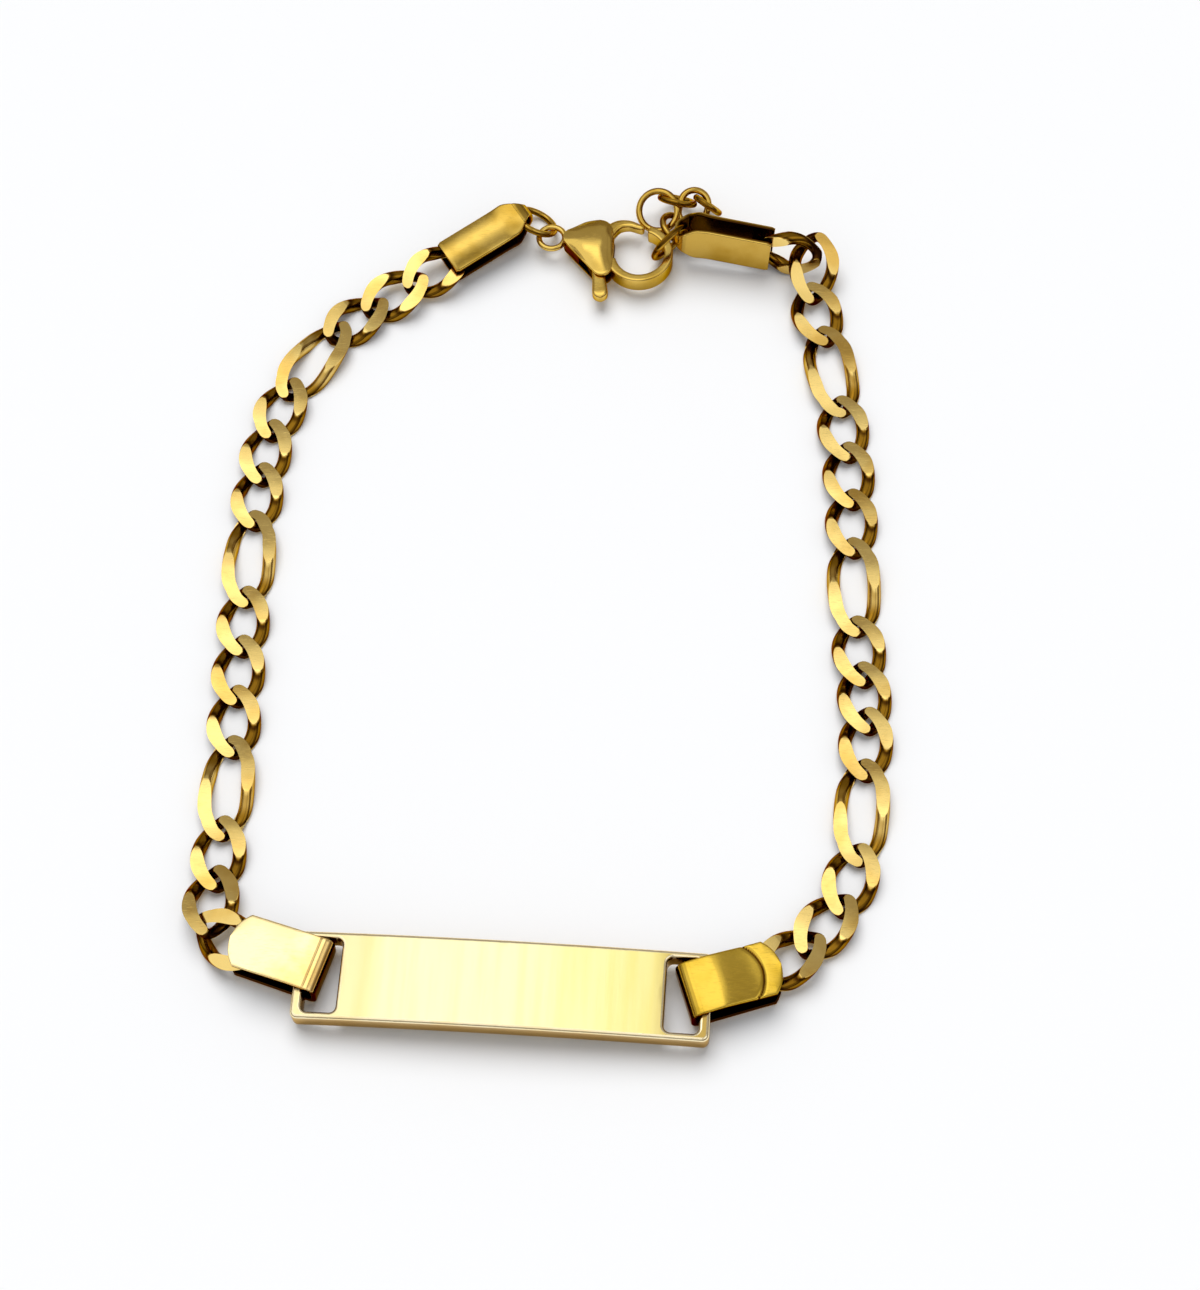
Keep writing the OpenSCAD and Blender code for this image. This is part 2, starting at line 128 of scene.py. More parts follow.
@dataclass(frozen=True)
class Pose:
    """Where a piece lies: its place, then its turn about Z, its roll about X and its tilt about Y.

    Args:
        x: how far right it lies.
        y: how far back.
        z: how high.
        turn: its turn about Z.
        roll: its roll about X.
        tilt: its tilt about Y.
    """

    x: float
    y: float
    z: float
    turn: float = 0.0
    roll: float = 0.0
    tilt: float = 0.0

    def matrix(self) -> Array:
        """Rolls first, then tilts, then turns.

        Returns:
            The turning matrix.
        """
        turn, roll, tilt = np.radians([self.turn, self.roll, self.tilt])
        about_x = np.array([[1, 0, 0], [0, np.cos(roll), -np.sin(roll)], [0, np.sin(roll), np.cos(roll)]])
        about_y = np.array([[np.cos(tilt), 0, np.sin(tilt)], [0, 1, 0], [-np.sin(tilt), 0, np.cos(tilt)]])
        about_z = np.array([[np.cos(turn), -np.sin(turn), 0], [np.sin(turn), np.cos(turn), 0], [0, 0, 1]])
        return about_z @ about_y @ about_x

    def place(self, points: Array) -> Array:
        """Moves points from the piece's own frame to the part's."""
        return points @ self.matrix().T + np.array([self.x, self.y, self.z]) + LAYOUT_SHIFT


@dataclass
class Skin:
    """A grid of points that covers a stretch of a piece. Its last column joins the first.

    Args:
        points: rows, columns and the three coordinates.
        rows_close: the last row joins the first.
        capped: a face closes the first row and another the last.
        finish: which of the piece's finishes it wears.
        painted_shade: how much painted shade darkens the metal there, from 0 to 1, for all of it or for each
            point.
    """

    points: Array
    rows_close: bool = False
    capped: bool = False
    finish: int = 0
    painted_shade: Array | float = 0.0

    def faces(self, first: int) -> list[list[int]]:
        """Quads between neighbouring rows and columns, numbered from first, and the caps.

        Args:
            first: number of the stretch's first point.

        Returns:
            The numbers of each face's points.
        """
        rows, columns = self.points.shape[:2]
        index = first + np.arange(rows * columns).reshape(rows, columns)
        caps = [index[0].tolist(), index[-1][::-1].tolist()] if self.capped else []
        if self.rows_close:
            index = np.vstack([index, index[:1]])
        index = np.hstack([index, index[:, :1]])
        quads = np.stack([index[:-1, :-1], index[1:, :-1], index[1:, 1:], index[:-1, 1:]], axis=-1)
        return quads.reshape(-1, 4).tolist() + caps

    def moved(self, pose: Pose) -> "Skin":
        """The same stretch, laid in a pose."""
        return replace(self, points=pose.place(self.points))


@dataclass(frozen=True)
class Wear:
    """What a piece is called, what it is dressed in and what it stands for.

    Args:
        name: the piece's name.
        slot: the record's material slot for it.
        finishes: its materials, in the order of its skins' numbers.
        nodes: the solids that it stands for.
        body: the body that it rides on.
        sharp_above: the least angle at which its faces meet in a crisp edge.
    """

    name: str
    slot: Slot
    finishes: tuple[Material, ...]
    nodes: tuple[str, ...]
    body: Body = Body.BRACELET
    sharp_above: float = 38.0


def make_piece(skins: Sequence[Skin], wear: Wear) -> bpy.types.Object:
    """Makes one object of several skins, with their shared points merged and their faces turned outwards.

    Args:
        skins: the stretches of its surface, in millimetres in the part's frame.
        wear: its name, finishes, body and the nodes that it stands for.

    Returns:
        The object, at the origin and riding on its body.
    """
    points = np.concatenate([skin.points.reshape(-1, 3) for skin in skins]) * MM
    faces: list[list[int]] = []
    finish: list[int] = []
    first = 0
    for skin in skins:
        new = skin.faces(first)
        faces += new
        finish += [skin.finish] * len(new)
        first += skin.points.shape[0] * skin.points.shape[1]
    mesh = bpy.data.meshes.new(wear.name)
    mesh.from_pydata(points.tolist(), [], faces)
    for material in wear.finishes:
        mesh.materials.append(material)
    mesh.polygons.foreach_set("material_index", finish)
    # Painted shade of each point, kept on the mesh so that the materials can darken the colour with it.
    painted_shade = [np.broadcast_to(skin.painted_shade, skin.points.shape[:2]).ravel() for skin in skins]
    mesh.attributes.new("painted_shade", "FLOAT", "POINT").data.foreach_set("value", np.concatenate(painted_shade))
    merged = bmesh.new()
    merged.from_mesh(mesh)
    bmesh.ops.remove_doubles(merged, verts=merged.verts, dist=SAME_POINT)
    bmesh.ops.dissolve_degenerate(merged, edges=merged.edges, dist=SHORTEST_EDGE)
    bmesh.ops.recalc_face_normals(merged, faces=merged.faces)
    merged.to_mesh(mesh)
    merged.free()
    mesh.shade_smooth()
    mesh.set_sharp_from_angle(angle=np.radians(wear.sharp_above))
    piece = bpy.data.objects.new(wear.name, mesh)
    bpy.context.scene.collection.objects.link(piece)
    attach(piece, wear.body.value)
    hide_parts(*wear.nodes)
    log.info("%s: %d faces", wear.name, len(mesh.polygons))
    return piece


def carry(path: Array, side: Array, up: Array, profile: Array) -> Array:
    """Grid of a profile carried along a path.

    Each point is the path's point, plus the profile's first number along side, plus its second along up.

    Args:
        path: one point for each row.
        side: one unit vector for each row, or one for all.
        up: the same.
        profile: one or more rows of points of two numbers.

    Returns:
        The grid.
    """
    return path[:, None, :] + profile[..., :1] * side[:, None, :] + profile[..., 1:] * up[:, None, :]


def round_profile(radius: float, steps: int = 20) -> Array:
    """Points round a circle."""
    u = np.linspace(0.0, 2.0 * np.pi, steps, endpoint=False)
    return radius * np.stack([np.cos(u), np.sin(u)], axis=-1)[None]


def bar_profile(half_width: Array, half_height: Array, edge: Array, across: int = 4, arc: int = 5) -> Array:
    """Points round a flat bar with round edges, one row for each width.

    The first number runs to plus and minus half_width, the second to plus and minus half_height, and a
    quarter circle of radius edge joins a face to a side. An edge takes at most 98% of half the bar.

    Args:
        half_width: half the bar's width in each row.
        half_height: half its height in each row.
        edge: the radius of its edges in each row.
        across: how many steps each broad face has.
        arc: how many steps each edge has.

    Returns:
        A ring of points for each row.
    """
    half_width, half_height, edge = np.broadcast_arrays(
        np.atleast_1d(half_width).astype(float), np.atleast_1d(half_height), np.atleast_1d(edge)
    )
    most = 0.98
    edge = np.minimum(edge, most * np.minimum(half_width, half_height))
    quarter = np.linspace(0.0, np.pi / 2.0, arc + 1)
    inner = (half_width - edge)[:, None]
    level = (half_height - edge)[:, None]
    bulge = edge[:, None]
    corner_x = inner + bulge * np.cos(quarter)
    corner_y = level + bulge * np.sin(quarter)
    inset = np.linspace(1.0, -1.0, across + 1)[1:-1]
    face_x = inner * inset
    face_y = np.broadcast_to(half_height[:, None], face_x.shape)
    x = np.hstack([corner_x, face_x, -corner_x[:, ::-1], -corner_x, -face_x, corner_x[:, ::-1]])
    y = np.hstack([corner_y, face_y, corner_y[:, ::-1], -corner_y, -face_y, -corner_y[:, ::-1]])
    return np.stack([x, y], axis=-1)


def oval(drawn: float, arc_steps: int, line_steps: int) -> tuple[Array, Array]:
    """Angle, and shift along X, of points round an oval whose halves are drawn apart.

    The two half ovals are moved apart by drawn, and straight stretches join them.

    Args:
        drawn: how far the halves are moved apart.
        arc_steps: steps of each half oval.
        line_steps: steps of each straight stretch.

    Returns:
        The angles in radians and the shifts, one for each point.
    """
    arc = np.linspace(-90.0, 90.0, arc_steps, endpoint=False)
    line = np.linspace(0.5, -0.5, line_steps, endpoint=False)
    angle = np.concatenate([arc, np.full(line_steps, 90.0), arc + 180.0, np.full(line_steps, 270.0)])
    share = np.concatenate([np.full(arc_steps, 0.5), line, np.full(arc_steps, -0.5), -line])
    return np.radians(angle), drawn * share


def smooth_line(points: Array, steps: int) -> Array:
    """Smooth line through points, by cubics.

    The slope at a point is half the step between its two neighbours.

    Args:
        points: the rows that it runs through.
        steps: how many rows it gets.

    Returns:
        The rows along it.
    """
    before = np.vstack([2 * points[0] - points[1], points, 2 * points[-1] - points[-2]])
    t = np.linspace(0.0, len(points) - 1.0, steps)
    k = np.minimum(t.astype(int), len(points) - 2)
    f = (t - k)[:, None]
    a, b, c, d = before[k], before[k + 1], before[k + 2], before[k + 3]
    return b + 0.5 * f * (c - a + f * (2 * a - 5 * b + 4 * c - d + f * (3 * (b - c) + d - a)))


def edge_distance(way: Array, half_x: Array, half_y: float, corner: Array) -> Array:
    """Distance from a point in a rectangle to its edge along unit vectors, with round corners.

    The sharp edge is met where the nearer side is. Where that point is in a corner's square, the distance
    is the part of the arc's centre along the ray plus the half chord of the arc's circle.

    Args:
        way: the unit vectors.
        half_x: half the rectangle's size along X, for each.
        half_y: half its size along Y.
        corner: radius of the corners, for each.

    Returns:
        The distance along each.
    """
    size = np.maximum(np.abs(way), TINY)
    sharp = np.minimum(half_x / size[:, 0], half_y / size[:, 1])
    centre = np.stack([half_x - corner, half_y - corner], axis=-1)
    along = (size * centre).sum(axis=1)
    off = size[:, 0] * centre[:, 1] - size[:, 1] * centre[:, 0]
    arc = along + np.sqrt(np.maximum(corner**2 - off**2, 0.0))
    in_corner = (size * sharp[:, None] > centre + TINY).all(axis=1)
    return np.where(in_corner, arc, sharp)


class Level:
    """A number that varies over a surface. Sums and products of it add Math nodes."""

    def __init__(self, bench: "NodeBench", socket: Socket) -> None:
        """Wraps a number socket."""
        self.bench = bench
        self.socket = socket

    def math(self, operation: str, *others: "Level | float") -> "Level":
        """Adds a Math node with this number first."""
        inputs = dict(enumerate((self, *others)))
        return Level(self.bench, self.bench.add("ShaderNodeMath", inputs, operation=operation).outputs[0])

    def __add__(self, other: "Level | float") -> "Level":
        """This plus other."""
        return self.math("ADD", other)

    def __mul__(self, other: "Level | float") -> "Level":
        """This times other."""
        return self.math("MULTIPLY", other)

    def __rsub__(self, other: float) -> "Level":
        """Other less this."""
        return self.math("MULTIPLY", -1.0).math("ADD", other)

    def __truediv__(self, other: "Level | float") -> "Level":
        """This over other."""
        return self.math("DIVIDE", other)

    __radd__ = __add__

    def step(self, low: float, high: float) -> "Level":
        """Goes smoothly from 0 at low to 1 at high.

        Args:
            low: where it starts.
            high: where it ends.

        Returns:
            The number from 0 to 1.
        """
        node = self.bench.add(
            "ShaderNodeMapRange",
            {"Value": self, "From Min": low, "From Max": high},
            interpolation_type="SMOOTHSTEP",
        )
        return Level(self.bench, node.outputs[0])

    def between(self, low: float, high: float, soft: float) -> "Level":
        """One between low and high and zero outside, with edges that reach soft to each side."""
        return self.step(low - soft, low + soft) * (1.0 - self.step(high - soft, high + soft))


class NodeBench:
    """Adds the nodes of one material or world."""

    def __init__(self, tree: bpy.types.NodeTree) -> None:
        """Starts with an empty tree."""
        self.tree = tree
        tree.nodes.clear()

    def add(self, kind: str, inputs: dict | None = None, **settings: object) -> bpy.types.Node:
        """Adds a node of any kind.

        Args:
            kind: the node's type.
            inputs: for each socket's name or number, a value or what is linked to it.
            settings: the node's own properties, which are set first.

        Returns:
            The node.
        """
        node = self.tree.nodes.new(kind)
        for name, value in settings.items():
            setattr(node, name, value)
        for key, value in (inputs or {}).items():
            source = value.socket if isinstance(value, Level) else value
            if isinstance(source, Socket):
                self.tree.links.new(source, node.inputs[key])
            else:
                node.inputs[key].default_value = source
        return node

    def noise(self, where: Socket, scale: float = 1.0, detail: float = 2.0) -> Level:
        """Soft noise, about 0.5 on average."""
        node = self.add("ShaderNodeTexNoise", {"Vector": where, "Scale": scale, "Detail": detail})
        return Level(self, node.outputs[0])

    def stretched(self, where: Socket, scale: Sequence[float], turn: float = 0.0) -> Socket:
        """Coordinates turned about Z, then scaled along each axis.

        Args:
            where: the coordinates.
            scale: their factor along each axis.
            turn: their turn in degrees.

        Returns:
            The new coordinates.
        """
        node = self.add(
            "ShaderNodeMapping",
            {"Vector": where, "Rotation": (0.0, 0.0, float(np.radians(turn))), "Scale": tuple(scale)},
        )
        return node.outputs[0]

    def blend(self, share: Level, first: Colour, second: Colour) -> Socket:
        """Colour that goes from first to second as share goes from 0 to 1.

        Args:
            share: how far it has gone.
            first: colour at 0.
            second: colour at 1.

        Returns:
            The colour.
        """
        ends = [(*end, 1.0) if isinstance(end, tuple) else end for end in (first, second)]
        # A Mix node's numbers go in at 2 and 3, its colours at 6 and 7, and its colour comes out at 2.
        inputs = {0: share, 6: ends[0], 7: ends[1]}
        return self.add("ShaderNodeMix", inputs, data_type="RGBA", clamp_factor=True).outputs[2]

    def attribute(self, name: str) -> Level:
        """A number that the mesh holds at each point."""
        return Level(self, self.add("ShaderNodeAttribute", attribute_name=name).outputs["Fac"])


def new_material(name: str) -> tuple[Material, NodeBench]:
    """An empty node material and its bench.

    Args:
        name: what it is called.

    Returns:
        The material and its bench.
    """
    material = bpy.data.materials.new(name)
    material.use_nodes = True
    return material, NodeBench(material.node_tree)


@dataclass(frozen=True)
class PolishedGold:
    """Bright plated metal: a mirror with slow waves from polishing, hairlines, and warm patches, darkened by
    painted shade.

    Scales are in waves per metre.

    Args:
        name: the material's name.
        light: colour of most of it.
        warm: colour of the patches.
        middle: colour where the painted shade has begun to darken the metal.
        dark: colour where the painted shade is darkest.
        edge_tint: colour of its mirror at a grazing look.
        patch_span: the noise from which a patch starts, and where it is whole.
        shade_uneven: how much the painted shade varies from place to place.
        middle_shade_span: the painted shade from which the metal goes to middle, and where it has.
        dark_shade_span: the same for dark.
        roughness: how blurred the mirror is, on average.
        waves: how strong the slow waves are.
        wave_scale: how close they lie.
        patch_scale: how close the patches lie.
        smear_scale: the smears' scale along each axis.
        smear_turn: how far they are turned about Z.
        smear_depth: how much they blur the mirror at most.
        smear_mean: how much they do on average.
        hair_scale: the hairlines' scale along each axis.
        hair_turn: how far they are turned about Z.
        hair_span: the noise from which a hairline starts, and where it is whole.
        hair_depth: how deep they are beside the waves.
        bump: height of the waves in metres.
    """

    name: str
    light: Triple = (0.90, 0.655, 0.215)
    warm: Triple = (0.76, 0.48, 0.11)
    middle: Triple = (0.34, 0.17, 0.012)
    dark: Triple = (0.050, 0.015, 0.002)
    edge_tint: Triple = (0.56, 0.31, 0.06)
    patch_span: Pair = (0.42, 0.70)
    shade_uneven: float = 0.5
    middle_shade_span: Pair = (0.0, 0.55)
    dark_shade_span: Pair = (0.40, 1.0)
    roughness: float = 0.10
    waves: float = 1.0
    wave_scale: float = 420.0
    patch_scale: float = 260.0
    smear_scale: Triple = (900.0, 2600.0, 1400.0)
    smear_turn: float = 35.0
    smear_depth: float = 0.12
    smear_mean: float = 0.03
    hair_scale: Triple = (1500.0, 22000.0, 9000.0)
    hair_turn: float = 20.0
    hair_span: Pair = (0.55, 0.75)
    hair_depth: float = 0.05
    bump: float = 0.00003

    def colour(self, bench: NodeBench, place: Socket) -> Socket:
        """Gold in warm patches, which goes over to brown and then to dark with the painted shade.

        Args:
            bench: the material's nodes.
            place: coordinates on the piece.

        Returns:
            The colour.
        """
        patches = bench.noise(place, self.patch_scale, detail=3.0)
        colour = bench.blend(patches.step(*self.patch_span), self.light, self.warm)
        # Painted shade from the mesh, a little uneven with the patches, turns the gold brown and then dark.
        painted_dark = bench.attribute("painted_shade") * ((1 - self.shade_uneven / 2) + patches * self.shade_uneven)
        colour = bench.blend(painted_dark.step(*self.middle_shade_span), colour, self.middle)
        return bench.blend(painted_dark.step(*self.dark_shade_span), colour, self.dark)

    def relief(self, bench: NodeBench, place: Socket) -> Socket:
        """Normal of the slow waves with the hairlines on them.

        Args:
            bench: the material's nodes.
            place: coordinates on the piece.

        Returns:
            The normal.
        """
        slow = bench.noise(place, self.wave_scale, detail=1.0)
        hairs = bench.noise(bench.stretched(place, self.hair_scale, self.hair_turn))
        height = slow * self.waves + hairs.step(*self.hair_span) * self.hair_depth
        inputs = {"Strength": 1.0, "Distance": self.bump, "Height": height}
        return bench.add("ShaderNodeBump", inputs).outputs[0]

    def material(self) -> Material:
        """Makes the material.

        Returns:
            The material.
        """
        material, bench = new_material(self.name)
        place = bench.add("ShaderNodeTexCoord").outputs["Object"]
        smears = bench.noise(bench.stretched(place, self.smear_scale, self.smear_turn), detail=3.0)
        shader = bench.add(
            "ShaderNodeBsdfPrincipled",
            {
                "Base Color": self.colour(bench, place),
                "Metallic": 1.0,
                "Specular Tint": (*self.edge_tint, 1.0),
                "Roughness": smears * self.smear_depth + (self.roughness - self.smear_mean),
                "Normal": self.relief(bench, place),
            },
        )
        bench.add("ShaderNodeOutputMaterial", {"Surface": shader.outputs[0]})
        return material


@dataclass(frozen=True)
class SatinGold:
    """Brushed face of the plate: fine lines across it, which spread the light along its length. Its right
    part and the metal beside the slots get painted shade.

    Args:
        name: the material's name.
        light: colour of the plate's left part.
        warm: colour of the random warm bands and of the painted shade on its right part.
        ends: colour of the painted shade beside the slots.
        roughness: how blurred the mirror is, on average.
        line_blur: how much the fine lines add to it at most.
        band_blur: how much the broad bands add.
        blur_mean: how much the two add on average.
        broad_scale: scale of the broad bands along each axis, in waves per metre.
        band_span: the noise from which a band goes warm, and where it has.
        band_warm: how warm it goes.
        band_relief: how high the bands are beside the lines.
        line_scale: scale of the fine lines along each axis.
        right_shade_span: from where to where the painted shade on the right part grows, along X in metres.
        right_shade_strength: how far it goes to warm.
        slot_shade_span: from where to where the painted shade beside the slots grows, as a distance from the
            middle.
        left_slot_shade: how far it goes to the ends' colour on the left.
        right_slot_shade_more: how much further on the right.
        bump: height of the lines in metres.
    """

    name: str
    light: Triple = (1.0, 0.94, 0.53)
    warm: Triple = (1.0, 0.86, 0.27)
    ends: Triple = (0.55, 0.33, 0.07)
    roughness: float = 0.32
    line_blur: float = 0.10
    band_blur: float = 0.06
    blur_mean: float = 0.08
    broad_scale: Triple = (900.0, 60.0, 60.0)
    band_span: Pair = (0.38, 0.72)
    band_warm: float = 0.30
    band_relief: float = 0.8
    line_scale: Triple = (26000.0, 500.0, 500.0)
    right_shade_span: Pair = (-0.002, 0.0125)
    right_shade_strength: float = 0.75
    slot_shade_span: Pair = (0.0088, 0.0110)
    left_slot_shade: float = 0.25
    right_slot_shade_more: float = 0.55
    bump: float = 0.000004

    def material(self) -> Material:
        """Makes the material.

        Returns:
            The material.
        """
        material, bench = new_material(self.name)
        place = bench.add("ShaderNodeTexCoord").outputs["Object"]
        broad = bench.noise(bench.stretched(place, self.broad_scale), detail=3.0)
        lines = bench.noise(bench.stretched(place, self.line_scale), detail=3.0)
        x = Level(bench, bench.add("ShaderNodeSeparateXYZ", {0: place}).outputs[0])
        # Random warm bands, plus painted shade that makes the face warmer and darker towards its right part.
        right_side_shade = x.step(*self.right_shade_span)
        warmth = broad.step(*self.band_span) * self.band_warm + right_side_shade * self.right_shade_strength
        colour = bench.blend(warmth, self.light, self.warm)
        # Painted shade beside the slots, stronger on the right.
        ends = x.math("ABSOLUTE").step(*self.slot_shade_span)
        colour = bench.blend(ends * (right_side_shade * self.right_slot_shade_more + self.left_slot_shade), colour, self.ends)
        blur = lines * self.line_blur + broad * self.band_blur
        height = lines + broad * self.band_relief
        bump = bench.add("ShaderNodeBump", {"Strength": 1.0, "Distance": self.bump, "Height": height})
        shader = bench.add(
            "ShaderNodeBsdfPrincipled",
            {
                "Base Color": colour,
                "Metallic": 1.0,
                "Roughness": blur + (self.roughness - self.blur_mean),
                "Normal": bump.outputs[0],
            },
        )
        bench.add("ShaderNodeOutputMaterial", {"Surface": shader.outputs[0]})
        return material


@dataclass(frozen=True)
class WhitePaper:
    """Plain pale surface that the bracelet lies on.

    Args:
        name: the material's name.
        colour: its colour.
        roughness: how dull it is.
    """

    name: str = "white_surface"
    colour: Triple = (0.90, 0.90, 0.905)
    roughness: float = 0.7

    def material(self) -> Material:
        """Makes the material.

        Returns:
            The material.
        """
        material, bench = new_material(self.name)
        inputs = {"Base Color": (*self.colour, 1.0), "Roughness": self.roughness}
        shader = bench.add("ShaderNodeBsdfPrincipled", inputs)
        bench.add("ShaderNodeOutputMaterial", {"Surface": shader.outputs[0]})
        return material


@dataclass(frozen=True)
class GroundFlats:
    """The two flats of a link, which lean a little and fall away towards its ends.

    Args:
        half: half the link's thickness where the flats are highest.
        lean: their two slopes, along the link and across it.
        droop: how far they have fallen at the end of a short link's wire.
        along: distance of that end from the link's middle.
        across: distance of the wire's side from the middle.
    """

    half: float
    lean: Array
    droop: float
    along: float
    across: float

    def level(self, plan: tuple[Array, Array], face: Array | float) -> Array:
        """Height of the upper flat (face 1), or depth of the lower one (face -1), at a place in plan.

        It is half the thickness less the slopes' most and a fall by the square of x, plus the face's slope.

        Args:
            plan: place along the link, and across it.
            face: 1 or -1, for all or for each place.

        Returns:
            The height or depth.
        """
        x, y = plan
        slope = self.lean[0] * x / self.along + self.lean[1] * y / self.across
        return self.half - np.abs(self.lean).sum() - self.droop * (x / self.along) ** 2 + face * slope


@dataclass(frozen=True)
class WireSections:
    """The ellipses that one link's wire passes through, as columns with a row for each.

    A point at angle u of a section lies out by half its width times cos u, and up by half its height times
    sin u. The section's roll turns both about the link's length.

    Args:
        x: the section's place along the link.
        y: its place across it, before the roll.
        out_x: how far its outward direction runs along the link.
        out_y: how far it runs across it.
        roll: its roll in radians.
        width: its width along the outward direction.
        height: its height.
        bulge: how far it is moved outwards.
        rise: height of its middle.
    """

    x: Array
    y: Array
    out_x: Array
    out_y: Array
    roll: Array
    width: Array
    height: Array
    bulge: Array
    rise: Array

    def plan(self, u: Array) -> tuple[Array, Array]:
        """Where the points at angles u lie along the link and across it.

        Args:
            u: a row of angles for each section, or a column of one.

        Returns:
            The place along the link, and the one across it.
        """
        over = self.width / 2 * np.cos(u) + self.bulge
        up = self.height / 2 * np.sin(u)
        across = (self.y + self.out_y * over) * np.cos(self.roll) - up * np.sin(self.roll)
        return self.x + self.out_x * over, across

    def round_height(self, u: Array) -> Array:
        """How high the points at angles u lie before the flats are ground."""
        z = self.rise + self.out_y * self.width / 2 * np.cos(u) * np.sin(self.roll)
        return z + self.height / 2 * np.sin(u) * np.cos(self.roll)

    def rim(self, flats: GroundFlats, face: float, side: float, narrowest: float = 7.0) -> Array:
        """Angle at which a flat meets the round flank on one side.

        The round height is the rise plus a cos u + b sin u, which is the rise plus swing cos(u - phase). A
        flat is met where that cosine is the flat's height less the rise, over swing. The flat's height
        changes with the place, so the angle is found in steps that settle.

        Args:
            flats: the link's flats.
            face: 1 for the upper flat and -1 for the lower one.
            side: 1 for the angle past the flat's middle and -1 for the one before it.
            narrowest: half the least angle that a flat spans, in degrees.

        Returns:
            An angle for each section.
        """
        a = self.out_y * self.width / 2 * np.sin(self.roll)
        b = self.height / 2 * np.cos(self.roll)
        swing = np.hypot(a, b)
        middle = np.arctan2(b, a) + (0.0 if face > 0 else np.pi)
        u = middle
        for _ in range(6):
            cosine = (flats.level(self.plan(u), face) - face * self.rise) / swing
            u = middle + side * np.arccos(np.clip(cosine, -1.0, np.cos(np.radians(narrowest))))
        return u


@dataclass
class FigaroLink:
    """One link: an oval of wire, rolled out of its plane towards its ends, with flats ground on it.

    Args:
        width: width of a link.
        short_length: length of a short link.
        long_extra: how much longer a long one is.
        thickness: height between the flats.
        wire_at_end: width of the wire at a link's ends.
        wire_at_side: its width at the sides.
        end_height: height of the round wire at the ends.
        side_height: its height at the sides.
        growth: how late the wire grows from its ends' size to its sides'.
        shoulder: how much wider it is between the ends and the sides.
        bulge: how far it stands out there.
        twist: roll of the wire at the ends, in degrees.
        crest: height that the rolled sides come near to.
        play: gap where two links hook.
        droop: how far the flats fall towards the ends.
        slimmer: share of the wire that is left, so that the piece stays inside its solid.
        lower: how far each flat lies inside the solid's.
        flat_painted_shade: how dark the painted shade makes the flats near the hooks, from 0 to 1.
        flank_painted_shade: how dark the painted shade makes a flank just below a flat.
        flank_soft: depth at which it is that dark, as a share of the flat's height.
        foot_from: depth from which the painted shade gets lighter.
        foot_soft: how much deeper it is lightest.
        foot_lighter: how much lighter it is there.
        hook_reach: distance from the end of the wire's middle to where the painted shade of the hook starts.
        hook_soft: length over which that grows.
        side_reach: half the length of a short link's side with lighter painted shade.
        short_side_lighter: how much lighter the painted shade is on a short link's side.
        long_side_lighter: how much lighter it is on a long link's side.
        arc_steps: steps of each half oval.
        line_steps: steps of each straight side of a long link.
        flat_steps: steps across a flat.
        flank_steps: steps across a flank.
    """

    width: float = 4.0
    short_length: float = 5.86
    long_extra: float = 2.5
    thickness: float = 1.04
    wire_at_end: float = 0.78
    wire_at_side: float = 1.0
    end_height: float = 0.77
    side_height: float = 1.3
    growth: float = 1.5
    shoulder: float = 0.13
    bulge: float = 0.05
    twist: float = 51.0
    crest: float = 1.3
    play: float = 0.2
    droop: float = 0.12
    slimmer: float = 0.985
    lower: float = 0.01
    flat_painted_shade: float = 0.15
    flank_painted_shade: float = 0.98
    flank_soft: float = 0.22
    foot_from: float = 0.28
    foot_soft: float = 0.4
    foot_lighter: float = 0.38
    hook_reach: float = 1.1
    hook_soft: float = 0.8
    side_reach: float = 0.6
    short_side_lighter: float = 0.10
    long_side_lighter: float = 0.70
    arc_steps: int = 48
    line_steps: int = 14
    flat_steps: int = 4
    flank_steps: int = 16

    def is_long(self, k: int) -> bool:
        """Every fourth link is a long one."""
        return k % 4 == 3

    def extra(self, k: int) -> float:
        """How much longer link k is than a short one."""
        return self.long_extra if self.is_long(k) else 0.0

    def reach(self, k: int, push: float) -> float:
        """Distance from a link's middle to where it hooks into the next."""
        return (self.short_length + self.extra(k)) / 2 - self.wire_at_end - self.play / 2 - push / 2

    def along(self) -> float:
        """Distance from a short link's middle to the middle of its wire at an end."""
        return self.short_length / 2 - self.wire_at_end / 2

    def across(self) -> float:
        """Distance from a link's middle to the middle of its wire at a side."""
        return self.width / 2 - self.wire_at_side / 2

    def sections(self, drawn: float) -> WireSections:
        """The wire's sections round a link that is drawn long by drawn.

        The wire's middle runs round an oval. It rolls in proportion to its place along the link, so the two
        sides rise and fall across each other, and its middle's height comes near to the crest. The wire
        grows towards its sides by a power of the sine.

        Args:
            drawn: how much longer the link is than a short one.

        Returns:
            The sections.
        """
        t, shift = oval(drawn, self.arc_steps, self.line_steps if drawn else 0)
        t = t[:, None]
        x = self.along() * np.cos(t) + shift[:, None]
        y = self.across() * np.sin(t)
        out_x = self.across() * np.cos(t)
        out_y = self.along() * np.sin(t)
        size = np.hypot(out_x, out_y)
        roll = np.radians(-self.twist * x / (self.along() + drawn / 2))
        grown = np.abs(np.sin(t)) ** self.growth
        shoulder = np.sin(2 * t) ** 2
        width = self.wire_at_end + (self.wire_at_side - self.wire_at_end) * grown + self.shoulder * shoulder
        height = self.end_height + (self.side_height - self.end_height) * grown
        bulge = self.bulge * shoulder
        raised = y * np.sin(roll)
        rise = raised / np.sqrt(1 + (raised / self.crest) ** 2) + out_y / size * bulge * np.sin(roll)
        return WireSections(
            x, y, out_x / size, out_y / size, roll, self.slimmer * width, self.slimmer * height, bulge, rise
        )

